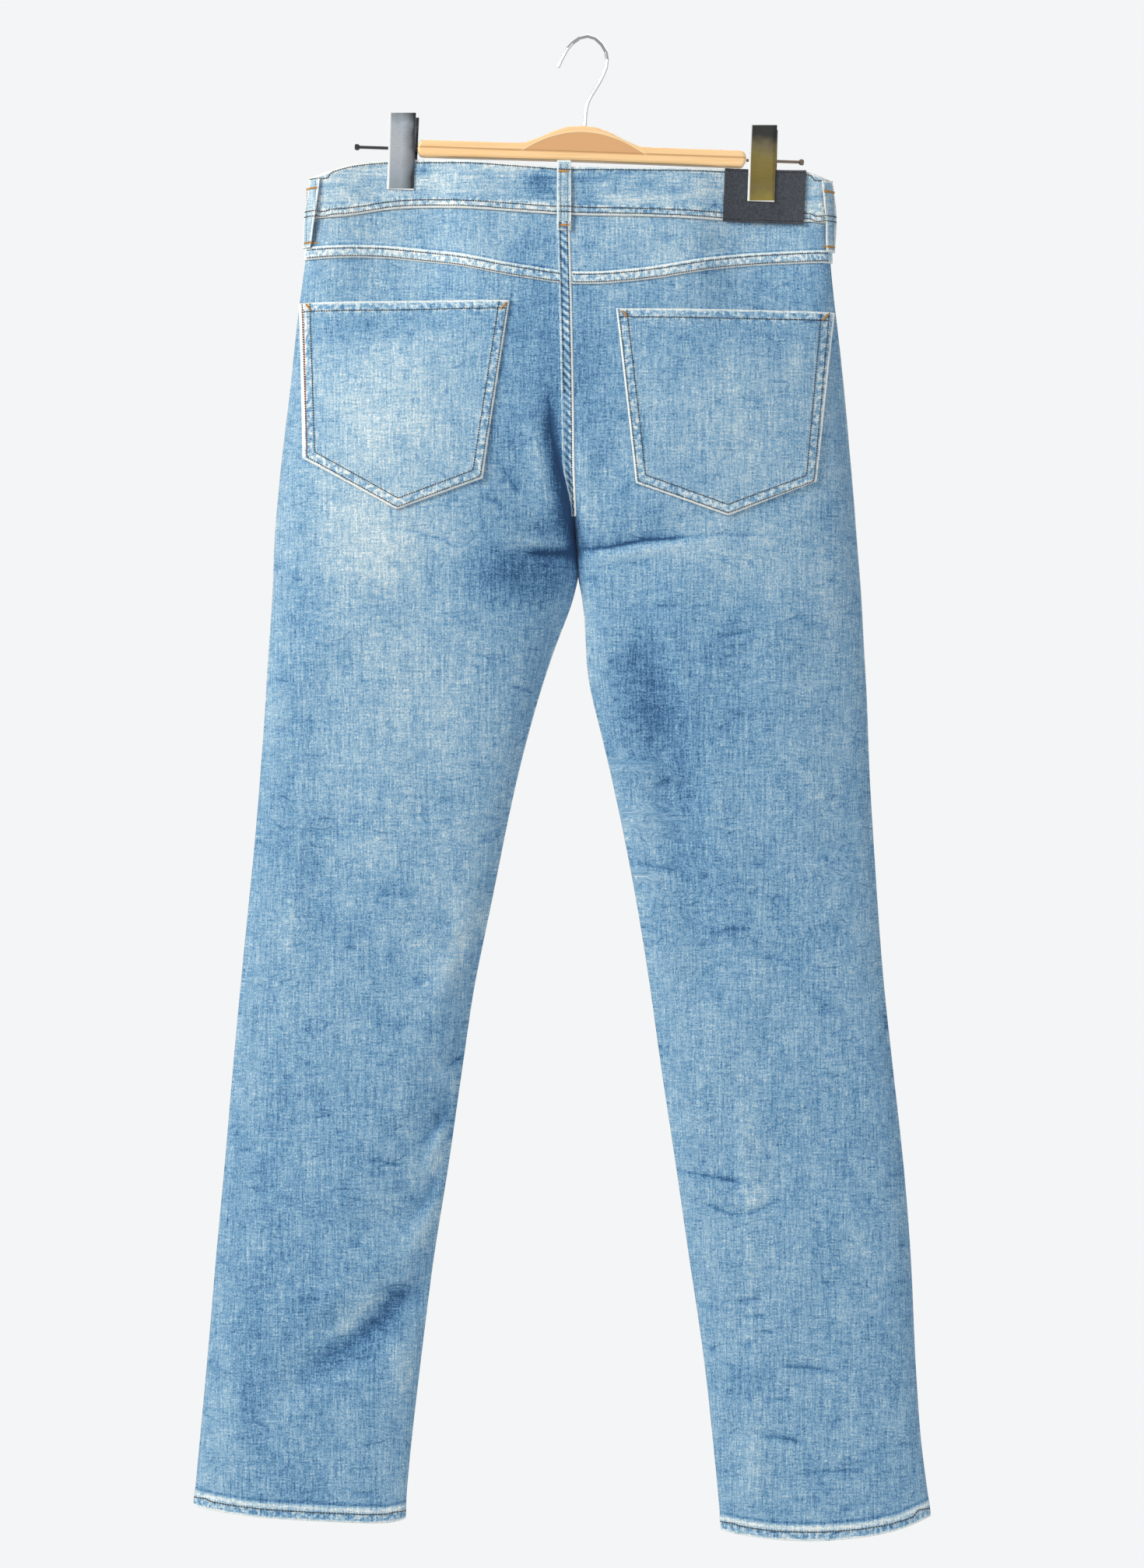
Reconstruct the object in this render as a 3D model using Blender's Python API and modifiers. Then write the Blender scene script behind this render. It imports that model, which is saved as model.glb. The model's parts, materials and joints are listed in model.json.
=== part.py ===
"""Slim fit jeans hanging by the waistband from a wooden clip hanger, seen from behind along +Y.

The origin is the inside top of the hanger's hook, +Z is up and +X is the wearer's right.
Tables and sizes are in millimetres, and the meshes are made in metres. A drop is a distance below the
hook. The cloth is one set of curved sheets: a back sheet and a front sheet on each side, which share one
hollow above the crotch and close into a tube for each leg below it. Every sewn piece is a stretch of one
of these sheets, with a wall of its own, and what is sewn on top is the same stretch lifted outwards.
"""

from collections import namedtuple
from math import acos, cos, hypot, pi, radians, sin

import bmesh
import bpy
from mathutils import Vector

MM = 0.001

# Cloth
WALL = 1.2            # one layer of denim
HEM_WALL = 2.4        # the turned hem
HEM_HEIGHT = 12.0
BAND_WALL = 2.6       # the waistband's layers
BAND_LIFT = 0.7       # the waistband's middle, outside the sheet's middle
GAP = 0.3             # between neighbouring pieces
LAP_LIFT = 1.8        # a piece lapped over a single layer
ROUNDNESS = 2.2       # 2 is an ellipse, more is squarer
SEAM_DROP = 150.0     # the height whose columns set where the waist's seams run
BACK, FRONT = -1, 1
LEFT, RIGHT = "left", "right"

# The sheets, a row for each height. outer and inner are the edges' places along X, back and front are the
# depths of the two sheets, split is 0 where the sides share one hollow and 1 where each leg is a tube, and
# lean is the middle's place along Y.
Section = namedtuple("Section", "drop outer_left inner_left inner_right outer_right back front split lean")
SECTIONS = [
    Section(90, -217, -19.0, -18.6, 190, 9, 9, 0, 0),
    Section(128, -220.5, -19.0, -18.6, 194, 11, 10, 0, 0),
    Section(157, -223.8, -18.8, -18.4, 195, 14, 12, 0, 0),
    Section(190, -228, -18.2, -17.8, 195.5, 20, 16, 0, 0),
    Section(222, -232.5, -17.0, -16.5, 199.5, 26, 19, 0, 0),
    Section(283, -239, -15.8, -15.2, 206.3, 36, 24, 0.05, 1),
    Section(333, -245.2, -16.4, -15.2, 210.7, 40, 27, 0.24, 1),
    Section(383, -250.2, -12.0, -9.8, 215.1, 39, 29, 0.6, 2),
    Section(410, -252.1, -9.4, -7.2, 217, 36, 29, 0.88, 2),
    Section(438, -253, -8.6, -6.4, 219.4, 33, 28, 1, 2),
    Section(458, -253.9, -13.8, -2.6, 220.7, 31, 27, 1, 2),
    Section(483, -255.8, -23.8, -1, 222, 29, 25, 1, 2),
    Section(508, -257.7, -32.8, -0.6, 223.2, 27, 24, 1, 3),
    Section(534, -259, -40.8, 4.8, 225.1, 25, 23, 1, 3),
    Section(584, -262.7, -54.5, 17.6, 226.3, 23, 21, 1, 4),
    Section(634, -266.5, -65.8, 28.2, 229.5, 21, 20, 1, 5),
    Section(684, -271.5, -75.2, 38.2, 232.6, 20, 19, 1, 5),
    Section(759, -279, -90.9, 50.2, 238.3, 19, 18, 1, 5),
    Section(835, -285.9, -102.2, 60.8, 246.4, 19, 18, 1, 4),
    Section(910, -292.2, -112.9, 72.1, 254.6, 19, 18, 1, 3),
    Section(985, -299.1, -124.8, 82.8, 260.2, 18, 17, 1, 1),
    Section(1060, -305.3, -134.2, 94, 263.3, 17, 16, 1, -1),
    Section(1136, -312.2, -143, 102.2, 268.4, 16, 15, 1, -3),
    Section(1172, -315.4, -146.2, 105.6, 273.4, 15, 14, 1, -4),
    Section(1210, -318, -148, 109, 277, 15, 14, 1, -4),
]

# The waist's seams, a row for each place along X: the waistband's two edges, the top of the back panels
# under the yokes, and the yokes' lower edge.
Waist = namedtuple("Waist", "x band_top band_bottom panel_top yoke_edge")
WAISTLINE = [
    Waist(-228, 114, 148, 168, 180),
    Waist(-218, 110.4, 146.1, 168, 179.5),
    Waist(-194, 102.2, 144.5, 168, 178.5),
    Waist(-164, 98.4, 139, 168.3, 178.2),
    Waist(-135, 98.4, 137.3, 171, 181),
    Waist(-101, 99.4, 138.8, 175, 185.8),
    Waist(-70, 101.6, 141, 183.2, 193),
    Waist(-46, 103.5, 142.8, 187.2, 197),
    Waist(-19, 105.4, 144.5, 191.4, 201.2),
    Waist(9, 105.3, 145.3, 192, 201.6),
    Waist(25, 105.4, 145.5, 191, 200),
    Waist(56, 105.8, 146.1, 187.5, 196.8),
    Waist(87, 105.9, 147.3, 181.8, 190.6),
    Waist(118, 106.2, 148.4, 176.8, 185.8),
    Waist(150, 106.8, 148.4, 174.2, 183.5),
    Waist(176, 107.5, 148.5, 174.2, 182.5),
    Waist(187, 111, 149.5, 174.2, 182),
    Waist(200, 118, 152, 174.2, 182),
]
FRONT_DIP = 12.0      # how far the front waistband sinks at its middle
FRONT_DIP_REACH = 120.0

# The yoke's form down to its lapped edge, a row for each height: share of the way to the panel's top (2 is
# the lapped edge), how much short of that, and lift.
YokeRow = namedtuple("YokeRow", "share short lift")
YOKE_ROWS = [YokeRow(0, 0, 0), YokeRow(0.5, 0, 0), YokeRow(1, 4, 0), YokeRow(1, 1, LAP_LIFT),
             YokeRow(2, 0, LAP_LIFT)]

# The hems, a row for each place along X.
Hem = namedtuple("Hem", "x drop")
HEMS = {
    LEFT: [Hem(-320, 1180), Hem(-276, 1186.3), Hem(-237, 1189.4), Hem(-197, 1191.6), Hem(-157, 1193.4),
           Hem(-146, 1190.5)],
    RIGHT: [Hem(107, 1200), Hem(142, 1205), Hem(180, 1206.3), Hem(219, 1203.7), Hem(251, 1197.9),
            Hem(279, 1187.5)],
}

# The largest folds, a row for each: a soft ridge (height over 0) or trough along a line, on one sheet, that
# ends this reach from the line.
Fold = namedtuple("Fold", "side sheet x0 drop0 x1 drop1 height reach")
FOLDS = [
    Fold(LEFT, BACK, -54, 416, -12, 412, -5.5, 17),
    Fold(LEFT, BACK, -40, 440, -20, 456, -5.5, 22),
    Fold(LEFT, BACK, -64, 356, -48, 382, -4.0, 24),
    Fold(LEFT, BACK, -103, 731, -122, 776, 3.2, 24),
    Fold(LEFT, BACK, -100, 816, -124, 830, -3.2, 20),
    Fold(LEFT, BACK, -112, 858, -148, 902, -4.6, 22),
    Fold(LEFT, BACK, -120, 917, -162, 960, -4.6, 22),
    Fold(LEFT, BACK, -130, 1008, -190, 1041, -6.5, 24),
    Fold(LEFT, BACK, -190, 1041, -230, 1076, -5.0, 24),
    Fold(LEFT, BACK, -144, 976, -212, 1020, 3.0, 24),
    Fold(LEFT, BACK, -215, 540, -190, 640, -2.6, 32),
    Fold(RIGHT, BACK, 16, 414, 72, 400, -5.0, 20),
    Fold(RIGHT, BACK, 36, 446, 72, 620, -4.4, 28),
    Fold(RIGHT, BACK, 66, 600, 94, 760, -3.8, 28),
    Fold(RIGHT, BACK, 150, 470, 170, 640, 2.6, 36),
    Fold(RIGHT, BACK, 112, 900, 190, 936, -3.0, 26),
    Fold(LEFT, FRONT, -20, 398, -92, 358, -4.6, 22),
    Fold(LEFT, FRONT, -24, 430, -112, 404, -4.0, 22),
    Fold(LEFT, FRONT, -112, 848, -162, 892, -4.4, 22),
    Fold(LEFT, FRONT, -128, 958, -205, 1012, -5.0, 26),
    Fold(RIGHT, FRONT, 8, 400, 78, 360, -4.6, 22),
    Fold(RIGHT, FRONT, 12, 434, 98, 406, -4.0, 22),
    Fold(RIGHT, FRONT, 74, 862, 132, 902, -4.4, 22),
    Fold(RIGHT, FRONT, 96, 1000, 172, 1044, -5.0, 26),
]
FOLD_FADE = 8.0       # a fold dies out where the sheet comes this close to its side seam

# Back pockets, their five corners as (x, drop).
Pocket = namedtuple("Pocket", "outer_top inner_top inner_low tip outer_low")
POCKETS = {
    LEFT: Pocket((-230.6, 214.7), (-62.2, 214.7), (-83.7, 357.5), (-152.4, 382.3), (-227.1, 340.5)),
    RIGHT: Pocket((197.4, 222.3), (22.6, 221.6), (38.4, 361.3), (111.8, 387.2), (182.3, 359.1)),
}
POCKET_LIFT = 1.9
POCKET_FULLNESS = 1.4
PATCH_CORNERS = ((109.9, 105.8), (176.2, 107.5), (174.3, 150.8), (107.8, 148.4))
PATCH_WALL = 1.3
PATCH_ROOM = 0.4      # more than the gap, where the patch bridges the waistband's bend
LOOP_WIDTH = 11.3
LOOP_WALL = 1.0
LOOP_LENGTH = 57.0
FRONT_LOOP_X = (-118.0, 84.0)
POCKET_MOUTH_WIDTH = 84.0
POCKET_MOUTH_DEPTH = 78.0
MOUTH_STEPS = (0, 0.22, 0.42, 0.6, 0.75, 0.86, 0.94, 0.985, 1)
FLY_WIDTH = 38.0
FLY_LENGTH = 165.0
FLY_STRAIGHT = 0.6    # the share of its length above the rounded end
BAND_LAP = 30.0       # how far the waistband's left end laps past the middle of the front
BUTTON_RADIUS = 8.5

# Hanger, in its own upright frame, which hangs a little off level.
HANGER_TILT = 1.95
BAR_MIDDLE_X = -1.5
BAR_LENGTH = 264.8
BAR_MIDDLE_DROP = 93.6
BAR_HEIGHT = 13.4
BAR_DEPTH = 12.0
HUMP_HEIGHT = 15.6
HUMP_HALF_WIDTH = 52.0
WIRE_RADIUS = 1.4
HOOK_ROUTE = [(-23.0, -24.3), (-18.4, -14.0), (-12.0, -4.6), (0.0, 1.4), (11.6, -4.8), (16.4, -17.0),
              (13.5, -29.5), (7.6, -41.0), (2.2, -51.2), (0.6, -60.0), (0.3, -71.1)]
RAIL_RADIUS = 1.3
RAIL_HEAD_RADIUS = 2.6
RAIL_ENDS = (-184.4, 177.6)
RAIL_DROP = 94.0
CLIP_X = {LEFT: -146.3, RIGHT: 143.8}
CLIP_WIDTH = 21.6
CLIP_TOP, CLIP_BOTTOM = 66.6, 127.6
CLIP_GRIP_TOP = 105.0
CLIP_METAL = 1.1
CLIP_SPREAD = 11.0    # the plates' place at the top, from the middle
BARREL_RADIUS = 5.0
JAW_SHIFT = 1.6
HOLD_HALF_GAP = 0.8   # the sheets' place under a clip, from the middle
HOLD_PLATEAU, HOLD_SHOULDER = 17.0, 58.0
HOLD_BOTTOM, HOLD_FADE = 149.0, 262.0

COLLECTION = "slim_fit_jeans_on_clip_hanger"
PANEL_TURNS = (0, 0.25, 0.5, 0.76, 0.98, 1.19, 1.38)   # from a seam to just short of the panel's middle
FACING_COLUMNS = 9
BAND_COLUMNS = 21
SLANT = 0.6
SLANT_START, SLANT_END = (740, 900), (1030, 1150)

# How close a leg panel's rows are, from each height down.
Spacing = namedtuple("Spacing", "drop step")
PANEL_ROWS = [Spacing(0, 28), Spacing(338, 17), Spacing(468, 27), Spacing(540, 44), Spacing(715, 23),
              Spacing(1085, 33)]


# ---------------------------------------------------------------- curves and sheets

def smooth(table, along, column, at):
    """The column's value at a place between the table's rows, on a curve without corners."""
    keys = [getattr(row, along) for row in table]
    values = [getattr(row, column) for row in table]
    last = len(keys) - 1
    at = min(max(at, keys[0]), keys[-1])
    i = 0
    while i < last - 1 and at > keys[i + 1]:
        i += 1

    def slope(k):
        low, high = max(k - 1, 0), min(k + 1, last)
        return (values[high] - values[low]) / (keys[high] - keys[low])

    step = keys[i + 1] - keys[i]
    t = (at - keys[i]) / step
    return (
        values[i] * (2 * t**3 - 3 * t**2 + 1)
        + slope(i) * step * (t**3 - 2 * t**2 + t)
        + values[i + 1] * (3 * t**2 - 2 * t**3)
        + slope(i + 1) * step * (t**3 - t**2)
    )


def ease(low, high, at):
    """0 below low, 1 above high, and an S curve between them."""
    t = min(max((at - low) / (high - low), 0.0), 1.0)
    return t * t * (3 - 2 * t)


def panel_turns(start):
    """A panel's columns from a place near its side seam to its inner edge."""
    whole = PANEL_TURNS + (pi / 2,) + tuple(pi - turn for turn in PANEL_TURNS[::-1])
    return [start + (pi - start) * turn / pi for turn in whole]


def section(column, drop):
    return smooth(SECTIONS, "drop", column, drop)


def column_x(side, sheet, turn):
    """A column's place along X at the waist's seams, so that the pieces on both sides of a seam agree."""
    return surface(side, sheet, turn, SEAM_DROP).x


def waistline(column, x):
    return smooth(WAISTLINE, "x", column, x)


def hem(side, x):
    return smooth(HEMS[side], "x", "drop", x)


def edges(side, drop):
    return section("outer_" + side, drop), section("inner_" + side, drop)


def world_clip(side):
    """The clip's middle along X where it grips the waistband."""
    grip = (CLIP_GRIP_TOP + CLIP_BOTTOM) / 2
    return CLIP_X[side] * cos(radians(HANGER_TILT)) - grip * sin(radians(HANGER_TILT))


def hold(x, drop):
    """How firmly the clips press the two sheets together, 0 to 1."""
    reach = min(abs(x - world_clip(side)) for side in (LEFT, RIGHT))
    return (1 - ease(HOLD_PLATEAU, HOLD_SHOULDER, reach)) * (1 - ease(HOLD_BOTTOM, HOLD_FADE, drop))


def fold_height(side, sheet, x, drop):
    total = 0.0
    for fold in FOLDS:
        if fold.side != side or fold.sheet != sheet:
            continue
        run_x, run_drop = fold.x1 - fold.x0, fold.drop1 - fold.drop0
        length = hypot(run_x, run_drop)
        along = ((x - fold.x0) * run_x + (drop - fold.drop0) * run_drop) / length
        off = ((x - fold.x0) * run_drop - (drop - fold.drop0) * run_x) / length
        past = max(-along, along - length, 0.0)
        total += fold.height * (1 - ease(0, fold.reach, hypot(off, past)))
    return total


def across_of(turn):
    """The share of the way from side seam to inner edge, closer together at both ends."""
    return (1 - cos(turn)) / 2


def surface(side, sheet, turn, drop, seam=0.0):
    """A point in the middle of a sheet's cloth. turn runs from 0 at the side seam to pi at the inner
    edge, and seam is the least distance from the plane of the side seams."""
    across = across_of(turn)
    outer, inner = edges(side, drop)
    x = outer + (inner - outer) * across
    split = min(max(section("split", drop), 0.0), 1.0)
    shared = max(1 - (1 - across) ** ROUNDNESS, 0.0) ** (1 / ROUNDNESS)
    tube = max(1 - abs(2 * across - 1) ** ROUNDNESS, 0.0) ** (1 / ROUNDNESS)
    out = section("back" if sheet == BACK else "front", drop) * (shared * (1 - split) + tube * split)
    grip = hold(x, drop)
    out = out * (1 - grip) + HOLD_HALF_GAP * grip
    out += fold_height(side, sheet, x, drop) * ease(0, FOLD_FADE, out)
    return Vector((x, section("lean", drop) + sheet * max(out, seam), -drop))


def outward(side, sheet, turn, drop):
    """The cloth's outward direction at a point."""
    step = 0.03
    before, after = max(turn - step, 0.0), min(turn + step, pi)
    along = surface(side, sheet, after, drop) - surface(side, sheet, before, drop)
    down = surface(side, sheet, turn, drop + 2) - surface(side, sheet, turn, drop - 2)
    normal = along.cross(down).normalized()
    facing = Vector((-1 if side == LEFT else 1, 3 * sheet, 0)) if turn < 1 else Vector((0, sheet, 0))
    return normal if normal.dot(facing) > 0 else -normal


def place(side, sheet, turn, drop, lift=0.0, seam=0.0):
    point = surface(side, sheet, turn, drop, seam)
    return point + outward(side, sheet, turn, drop) * lift if lift else point


def turn_at(side, x, drop):
    outer, inner = edges(side, drop)
    across = min(max((x - outer) / (inner - outer), 0.0), 1.0)
    return acos(1 - 2 * across)


def side_of(x):
    return LEFT if x < section("inner_left", 120) + GAP else RIGHT


def place_x(sheet, x, drop, lift):
    side = side_of(x) if drop < 330 else (LEFT if x < -8 else RIGHT)
    return place(side, sheet, turn_at(side, x, drop), drop, lift)


def turn_at_reach(side, sheet, reach, drop):
    """The turn at which the cloth, measured along it from the side seam, is this long."""
    steps = 80
    length, last = 0.0, surface(side, sheet, 0, drop)
    for i in range(1, steps + 1):
        turn = pi / 2 * i / steps
        here = surface(side, sheet, turn, drop)
        length += (here - last).length
        if length >= reach:
            return turn
        last = here
    return pi / 2


# ---------------------------------------------------------------- making objects

def collection(name, parent):
    made = bpy.data.collections.new(name)
    parent.children.link(made)
    return made


def material(name, colour, roughness, metallic=0.0):
    made = bpy.data.materials.new(name)
    made.use_nodes = True
    made.diffuse_color = (*colour, 1)
    shader = made.node_tree.nodes["Principled BSDF"]
    shader.inputs["Base Color"].default_value = (*colour, 1)
    shader.inputs["Roughness"].default_value = roughness
    shader.inputs["Metallic"].default_value = metallic
    return made


def finish(obj, parts, look):
    parts.objects.link(obj)
    obj.data.materials.append(look)
    return obj


def cloth(name, rows, wall, parts, look, thick_rows=0):
    """A wall of cloth round a grid of points. The last thick_rows rows are twice as thick."""
    build = bmesh.new()
    grid = [[build.verts.new(point * MM) for point in row] for row in rows]
    for upper, lower in zip(grid, grid[1:]):
        for i in range(len(upper) - 1):
            build.faces.new((upper[i], lower[i], lower[i + 1], upper[i + 1]))
    mesh = bpy.data.meshes.new(name)
    build.to_mesh(mesh)
    build.free()
    mesh.shade_smooth()
    obj = finish(bpy.data.objects.new(name, mesh), parts, look)
    solid = obj.modifiers.new("wall", "SOLIDIFY")
    solid.thickness = wall * MM
    solid.offset = 0
    solid.use_even_offset = True
    if thick_rows:
        group = obj.vertex_groups.new(name="turned")
        first = (len(rows) - thick_rows) * len(rows[0])
        group.add(list(range(first, len(rows) * len(rows[0]))), 1.0, "REPLACE")
        solid.thickness = 2 * wall * MM
        solid.vertex_group = group.name
        solid.thickness_vertex_group = 0.5
    return obj


def spaced(low, high, count):
    return [low + (high - low) * i / (count - 1) for i in range(count)]


# ---------------------------------------------------------------- garment

def seam_margin(wall):
    """Half the room at a side seam, so that walls turned a little off it stay clear of each other."""
    return GAP / 2 + 0.26 * wall


def leg_panel(side, sheet, parts, look):
    """From the yoke or waistband to the hem. The front panel's outer top corner is cut to the pocket."""
    name = "leg_" + ("back_" if sheet == BACK else "front_") + side
    mouth = mouth_edge(side)
    first = mouth[0][0] if sheet == FRONT else 0.0
    tops, hems = [], []
    for turn in panel_turns(first):
        x = column_x(side, sheet, turn)
        tops.append(waistline("panel_top", x) + GAP if sheet == BACK else front_seam(x) + GAP / 2)
    for turn in panel_turns(0):
        hems.append(hem(side, surface(side, sheet, turn, 1195).x) - HEM_HEIGHT)
    length = hems[0] - tops[0]
    if sheet == BACK:
        lap = waistline("yoke_edge", edges(side, SEAM_DROP)[0]) - tops[0]
        starts = [(0.0, 0.0), (0.0, lap / length)]
    else:
        starts = [(turn, (drop - tops[0]) / length) for turn, drop in mouth]
    drop = tops[0] + length * starts[-1][1]
    while drop < hems[0] - 8:
        drop += [spacing.step for spacing in PANEL_ROWS if spacing.drop <= drop][-1]
        starts.append((0.0, min((drop - tops[0]) / length, 1.0)))
    rows = []
    for start, share in starts:
        row = []
        for turn, top, low in zip(panel_turns(start), tops, hems):
            drop = top + (low - top) * share
            row.append(place(side, sheet, turn, drop + slant(side, turn, drop), 0, seam_margin(WALL)))
        rows.append(row)
    for down in (0.8, HEM_HEIGHT / 2, HEM_HEIGHT):
        rows.append([place(side, sheet, turn, low + down, 0, seam_margin(HEM_WALL))
                     for turn, low in zip(panel_turns(0), hems)])
    return cloth(name, rows, WALL, parts, look, thick_rows=3)


def slant(side, turn, drop):
    """How far below its inner end a row is here. Over the calf, rows run down to the side seam as folds do."""
    outer, inner = edges(side, drop)
    slanted = ease(*SLANT_START, drop) * (1 - ease(*SLANT_END, drop))
    return SLANT * slanted * abs(inner - outer) * (0.5 - across_of(turn))


def front_seam(x):
    """The lower edge of the waistband on the front."""
    return waistline("band_bottom", x) + front_dip(x)


def front_dip(x):
    middle = section("inner_left", 120)
    return FRONT_DIP * (1 - ease(0, FRONT_DIP_REACH, abs(x - middle)))


def mouth_edge(side):
    """A front pocket's mouth as (turn, drop) points, a quarter of an ellipse from waistband to side seam."""
    outer, _ = edges(side, SEAM_DROP)
    inward = 1 if side == LEFT else -1
    top = front_seam(outer + inward * POCKET_MOUTH_WIDTH) + GAP / 2
    points = []
    for down in MOUTH_STEPS:
        drop = top + POCKET_MOUTH_DEPTH * down
        inset = POCKET_MOUTH_WIDTH * (1 - down**2) ** 0.5
        points.append((turn_at(side, edges(side, drop)[0] + inward * inset, drop), drop))
    return points


def yoke(side, parts, look):
    """Its lower edge laps over the back panel."""
    rows = []
    for share, short, lift in YOKE_ROWS:
        row = []
        for turn in panel_turns(0):
            x = column_x(side, BACK, turn)
            top = waistline("band_bottom", x) + GAP / 2
            low = waistline("yoke_edge" if share > 1 else "panel_top", x)
            drop = top + (low - top) * min(share, 1) - short
            row.append(place(side, BACK, turn, drop, lift, seam_margin(WALL)))
        rows.append(row)
    return cloth("yoke_" + side, rows, WALL, parts, look)


def waistband(parts, look):
    """One strip from its lapped left end at the fly, round the left side and the back, to the fly."""
    middle = section("inner_left", 120) + GAP / 2
    lapped = LAP_LIFT + BAND_WALL
    stations = [(RIGHT, FRONT, turn_at(RIGHT, middle + past, SEAM_DROP), lapped)
                for past in (BAND_LAP, BAND_LAP / 2, 4.0)]
    columns = spaced(0, pi, BAND_COLUMNS)
    for turn in front_columns(LEFT)[::-1]:
        stations.append((LEFT, FRONT, turn, lapped if turn == pi else 0))
    stations += [(LEFT, BACK, turn, 0) for turn in columns[1:]]
    stations += [(RIGHT, BACK, turn, 0) for turn in columns[::-1][1:]]
    stations += [(RIGHT, FRONT, turn, 0) for turn in front_columns(RIGHT)[1:]]
    rows = []
    for share in (0, 0.5, 1):
        row = []
        for side, sheet, turn, lift in stations:
            x = column_x(side, sheet, turn)
            top, low = waistline("band_top", x), waistline("band_bottom", x) - GAP / 2
            dip = front_dip(x) if sheet == FRONT else 0.0
            row.append(place(side, sheet, turn, top + (low - top) * share + dip, BAND_LIFT + lift))
        rows.append(row)
    return cloth("waistband", rows, BAND_WALL, parts, look)


def front_columns(side):
    """The columns of the facing and then of the front panel at the waistband's seam."""
    turn, drop = mouth_edge(side)[0]
    return spaced(0, facing_stop(side, turn, drop), FACING_COLUMNS) + panel_turns(turn)


# The belt loop's form, a row for each height: share of its length, and lift over what it is sewn to.
Loop = namedtuple("Loop", "share lift")
LOOP_ROWS = [Loop(0, 0.0), Loop(0.1, 0.2), Loop(0.3, 1.2), Loop(0.5, 1.7), Loop(0.7, 1.2), Loop(0.88, 0.2),
             Loop(1, 0.0)]


def belt_loop(name, points_at, top, parts, look):
    """points_at(column share, drop, lift) gives a point on the sheet."""
    rows = []
    for row in LOOP_ROWS:
        drop = top + LOOP_LENGTH * row.share
        base = BAND_LIFT + BAND_WALL / 2 + GAP + LOOP_WALL / 2 + 0.25
        rows.append([points_at(column, drop, base + row.lift) for column in spaced(-0.5, 0.5, 5)])
    return cloth(name, rows, LOOP_WALL, parts, look)


def belt_loops(parts, look):
    middle = section("inner_left", 120) + GAP / 2

    def straight(sheet, x):
        return lambda column, drop, lift: place_x(sheet, x + column * LOOP_WIDTH, drop, lift)

    def round_side(side):
        def at(column, drop, lift):
            sheet = BACK if column > 0 else FRONT
            turn = turn_at_reach(side, sheet, abs(column) * LOOP_WIDTH, drop) if column else 0.0
            return place(side, sheet, turn, drop, lift + 0.9)
        return at

    belt_loop("loop_centre_back", straight(BACK, middle), 100.6, parts, look)
    belt_loop("loop_side_left", round_side(LEFT), 113.0, parts, look)
    belt_loop("loop_side_right", round_side(RIGHT), 116.0, parts, look)
    for side, x in zip((LEFT, RIGHT), FRONT_LOOP_X):
        top = waistline("band_top", x) + front_dip(x) - 3.0
        belt_loop("loop_front_" + side, straight(FRONT, x), top, parts, look)


def back_pocket(side, parts, look):
    corners = POCKETS[side]
    first = turn_at(side, corners.outer_top[0], corners.outer_top[1])
    last = turn_at(side, corners.inner_top[0], corners.inner_top[1])
    turns = spaced(first, last, 11)
    low, high = across_of(first), across_of(last)
    shares = [(across_of(turn) - low) / (high - low) for turn in turns]
    tip = (corners.tip[0] - corners.outer_low[0]) / (corners.inner_low[0] - corners.outer_low[0])
    nearest = min(range(len(shares)), key=lambda i: abs(shares[i] - tip))
    shares[nearest] = tip
    rows = []
    for down in spaced(0, 1, 8):
        row = []
        for share in shares:
            top = mix(corners.outer_top, corners.inner_top, share)
            if share <= tip:
                low_point = mix(corners.outer_low, corners.tip, share / tip)
            else:
                low_point = mix(corners.tip, corners.inner_low, (share - tip) / (1 - tip))
            x, drop = mix(top, low_point, down)
            full = POCKET_FULLNESS * sin(pi * share) * sin(pi * min(down + 0.2, 1))
            row.append(place(side, BACK, turn_at(side, x, drop), drop, POCKET_LIFT + full))
        rows.append(row)
    return cloth("pocket_back_" + side, rows, WALL, parts, look)


def mix(a, b, share):
    return tuple(p + (q - p) * share for p, q in zip(a, b))


def facing_stop(side, turn, drop):
    """The facing's last column, just short of the mouth."""
    outer, inner = edges(side, drop)
    short = 1.2 if side == LEFT else -1.2
    return turn_at(side, outer + (inner - outer) * across_of(turn) - short, drop)


def pocket_facing(side, parts, look):
    """The denim seen behind a front pocket's mouth."""
    rows = []
    mouth = mouth_edge(side)
    for (turn, drop), step in list(zip(mouth, MOUTH_STEPS))[:-2]:
        stop = facing_stop(side, turn, drop)
        edge_seam = front_seam(column_x(side, FRONT, stop))
        row = []
        for share in spaced(0, 1, FACING_COLUMNS):
            rise = (front_seam(column_x(side, FRONT, stop * share)) - edge_seam) * (1 - step)
            row.append(place(side, FRONT, stop * share, drop + rise, 0, seam_margin(WALL)))
        rows.append(row)
    return cloth("pocket_facing_" + side, rows, WALL, parts, look)


def fly(parts, look):
    rows = []
    middle = section("inner_left", 120)
    for down in (0, 0.2, 0.4, FLY_STRAIGHT, 0.74, 0.86, 0.94, 0.985):
        row = []
        width = FLY_WIDTH * (1 - max((down - FLY_STRAIGHT) / (1 - FLY_STRAIGHT), 0) ** 2) ** 0.5
        for share in spaced(0, 1, 5):
            x = middle - 1.0 - width * share
            drop = front_seam(x) + GAP + FLY_LENGTH * down
            inner = edges(LEFT, drop)[1]
            row.append(place(LEFT, FRONT, turn_at(LEFT, x + inner - middle, drop), drop, LAP_LIFT + 0.4))
        rows.append(row)
    return cloth("fly", rows, WALL, parts, look)


def label_patch(parts, look):
    top_left, top_right, low_right, low_left = PATCH_CORNERS
    lift = BAND_LIFT + BAND_WALL / 2 + GAP + PATCH_WALL / 2 + PATCH_ROOM
    rows = []
    for down in spaced(0, 1, 4):
        rows.append([place_x(BACK, *mix(mix(top_left, top_right, share), mix(low_left, low_right, share), down),
                             lift) for share in spaced(0, 1, 9)])
    return cloth("label_patch", rows, PATCH_WALL, parts, look)


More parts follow.
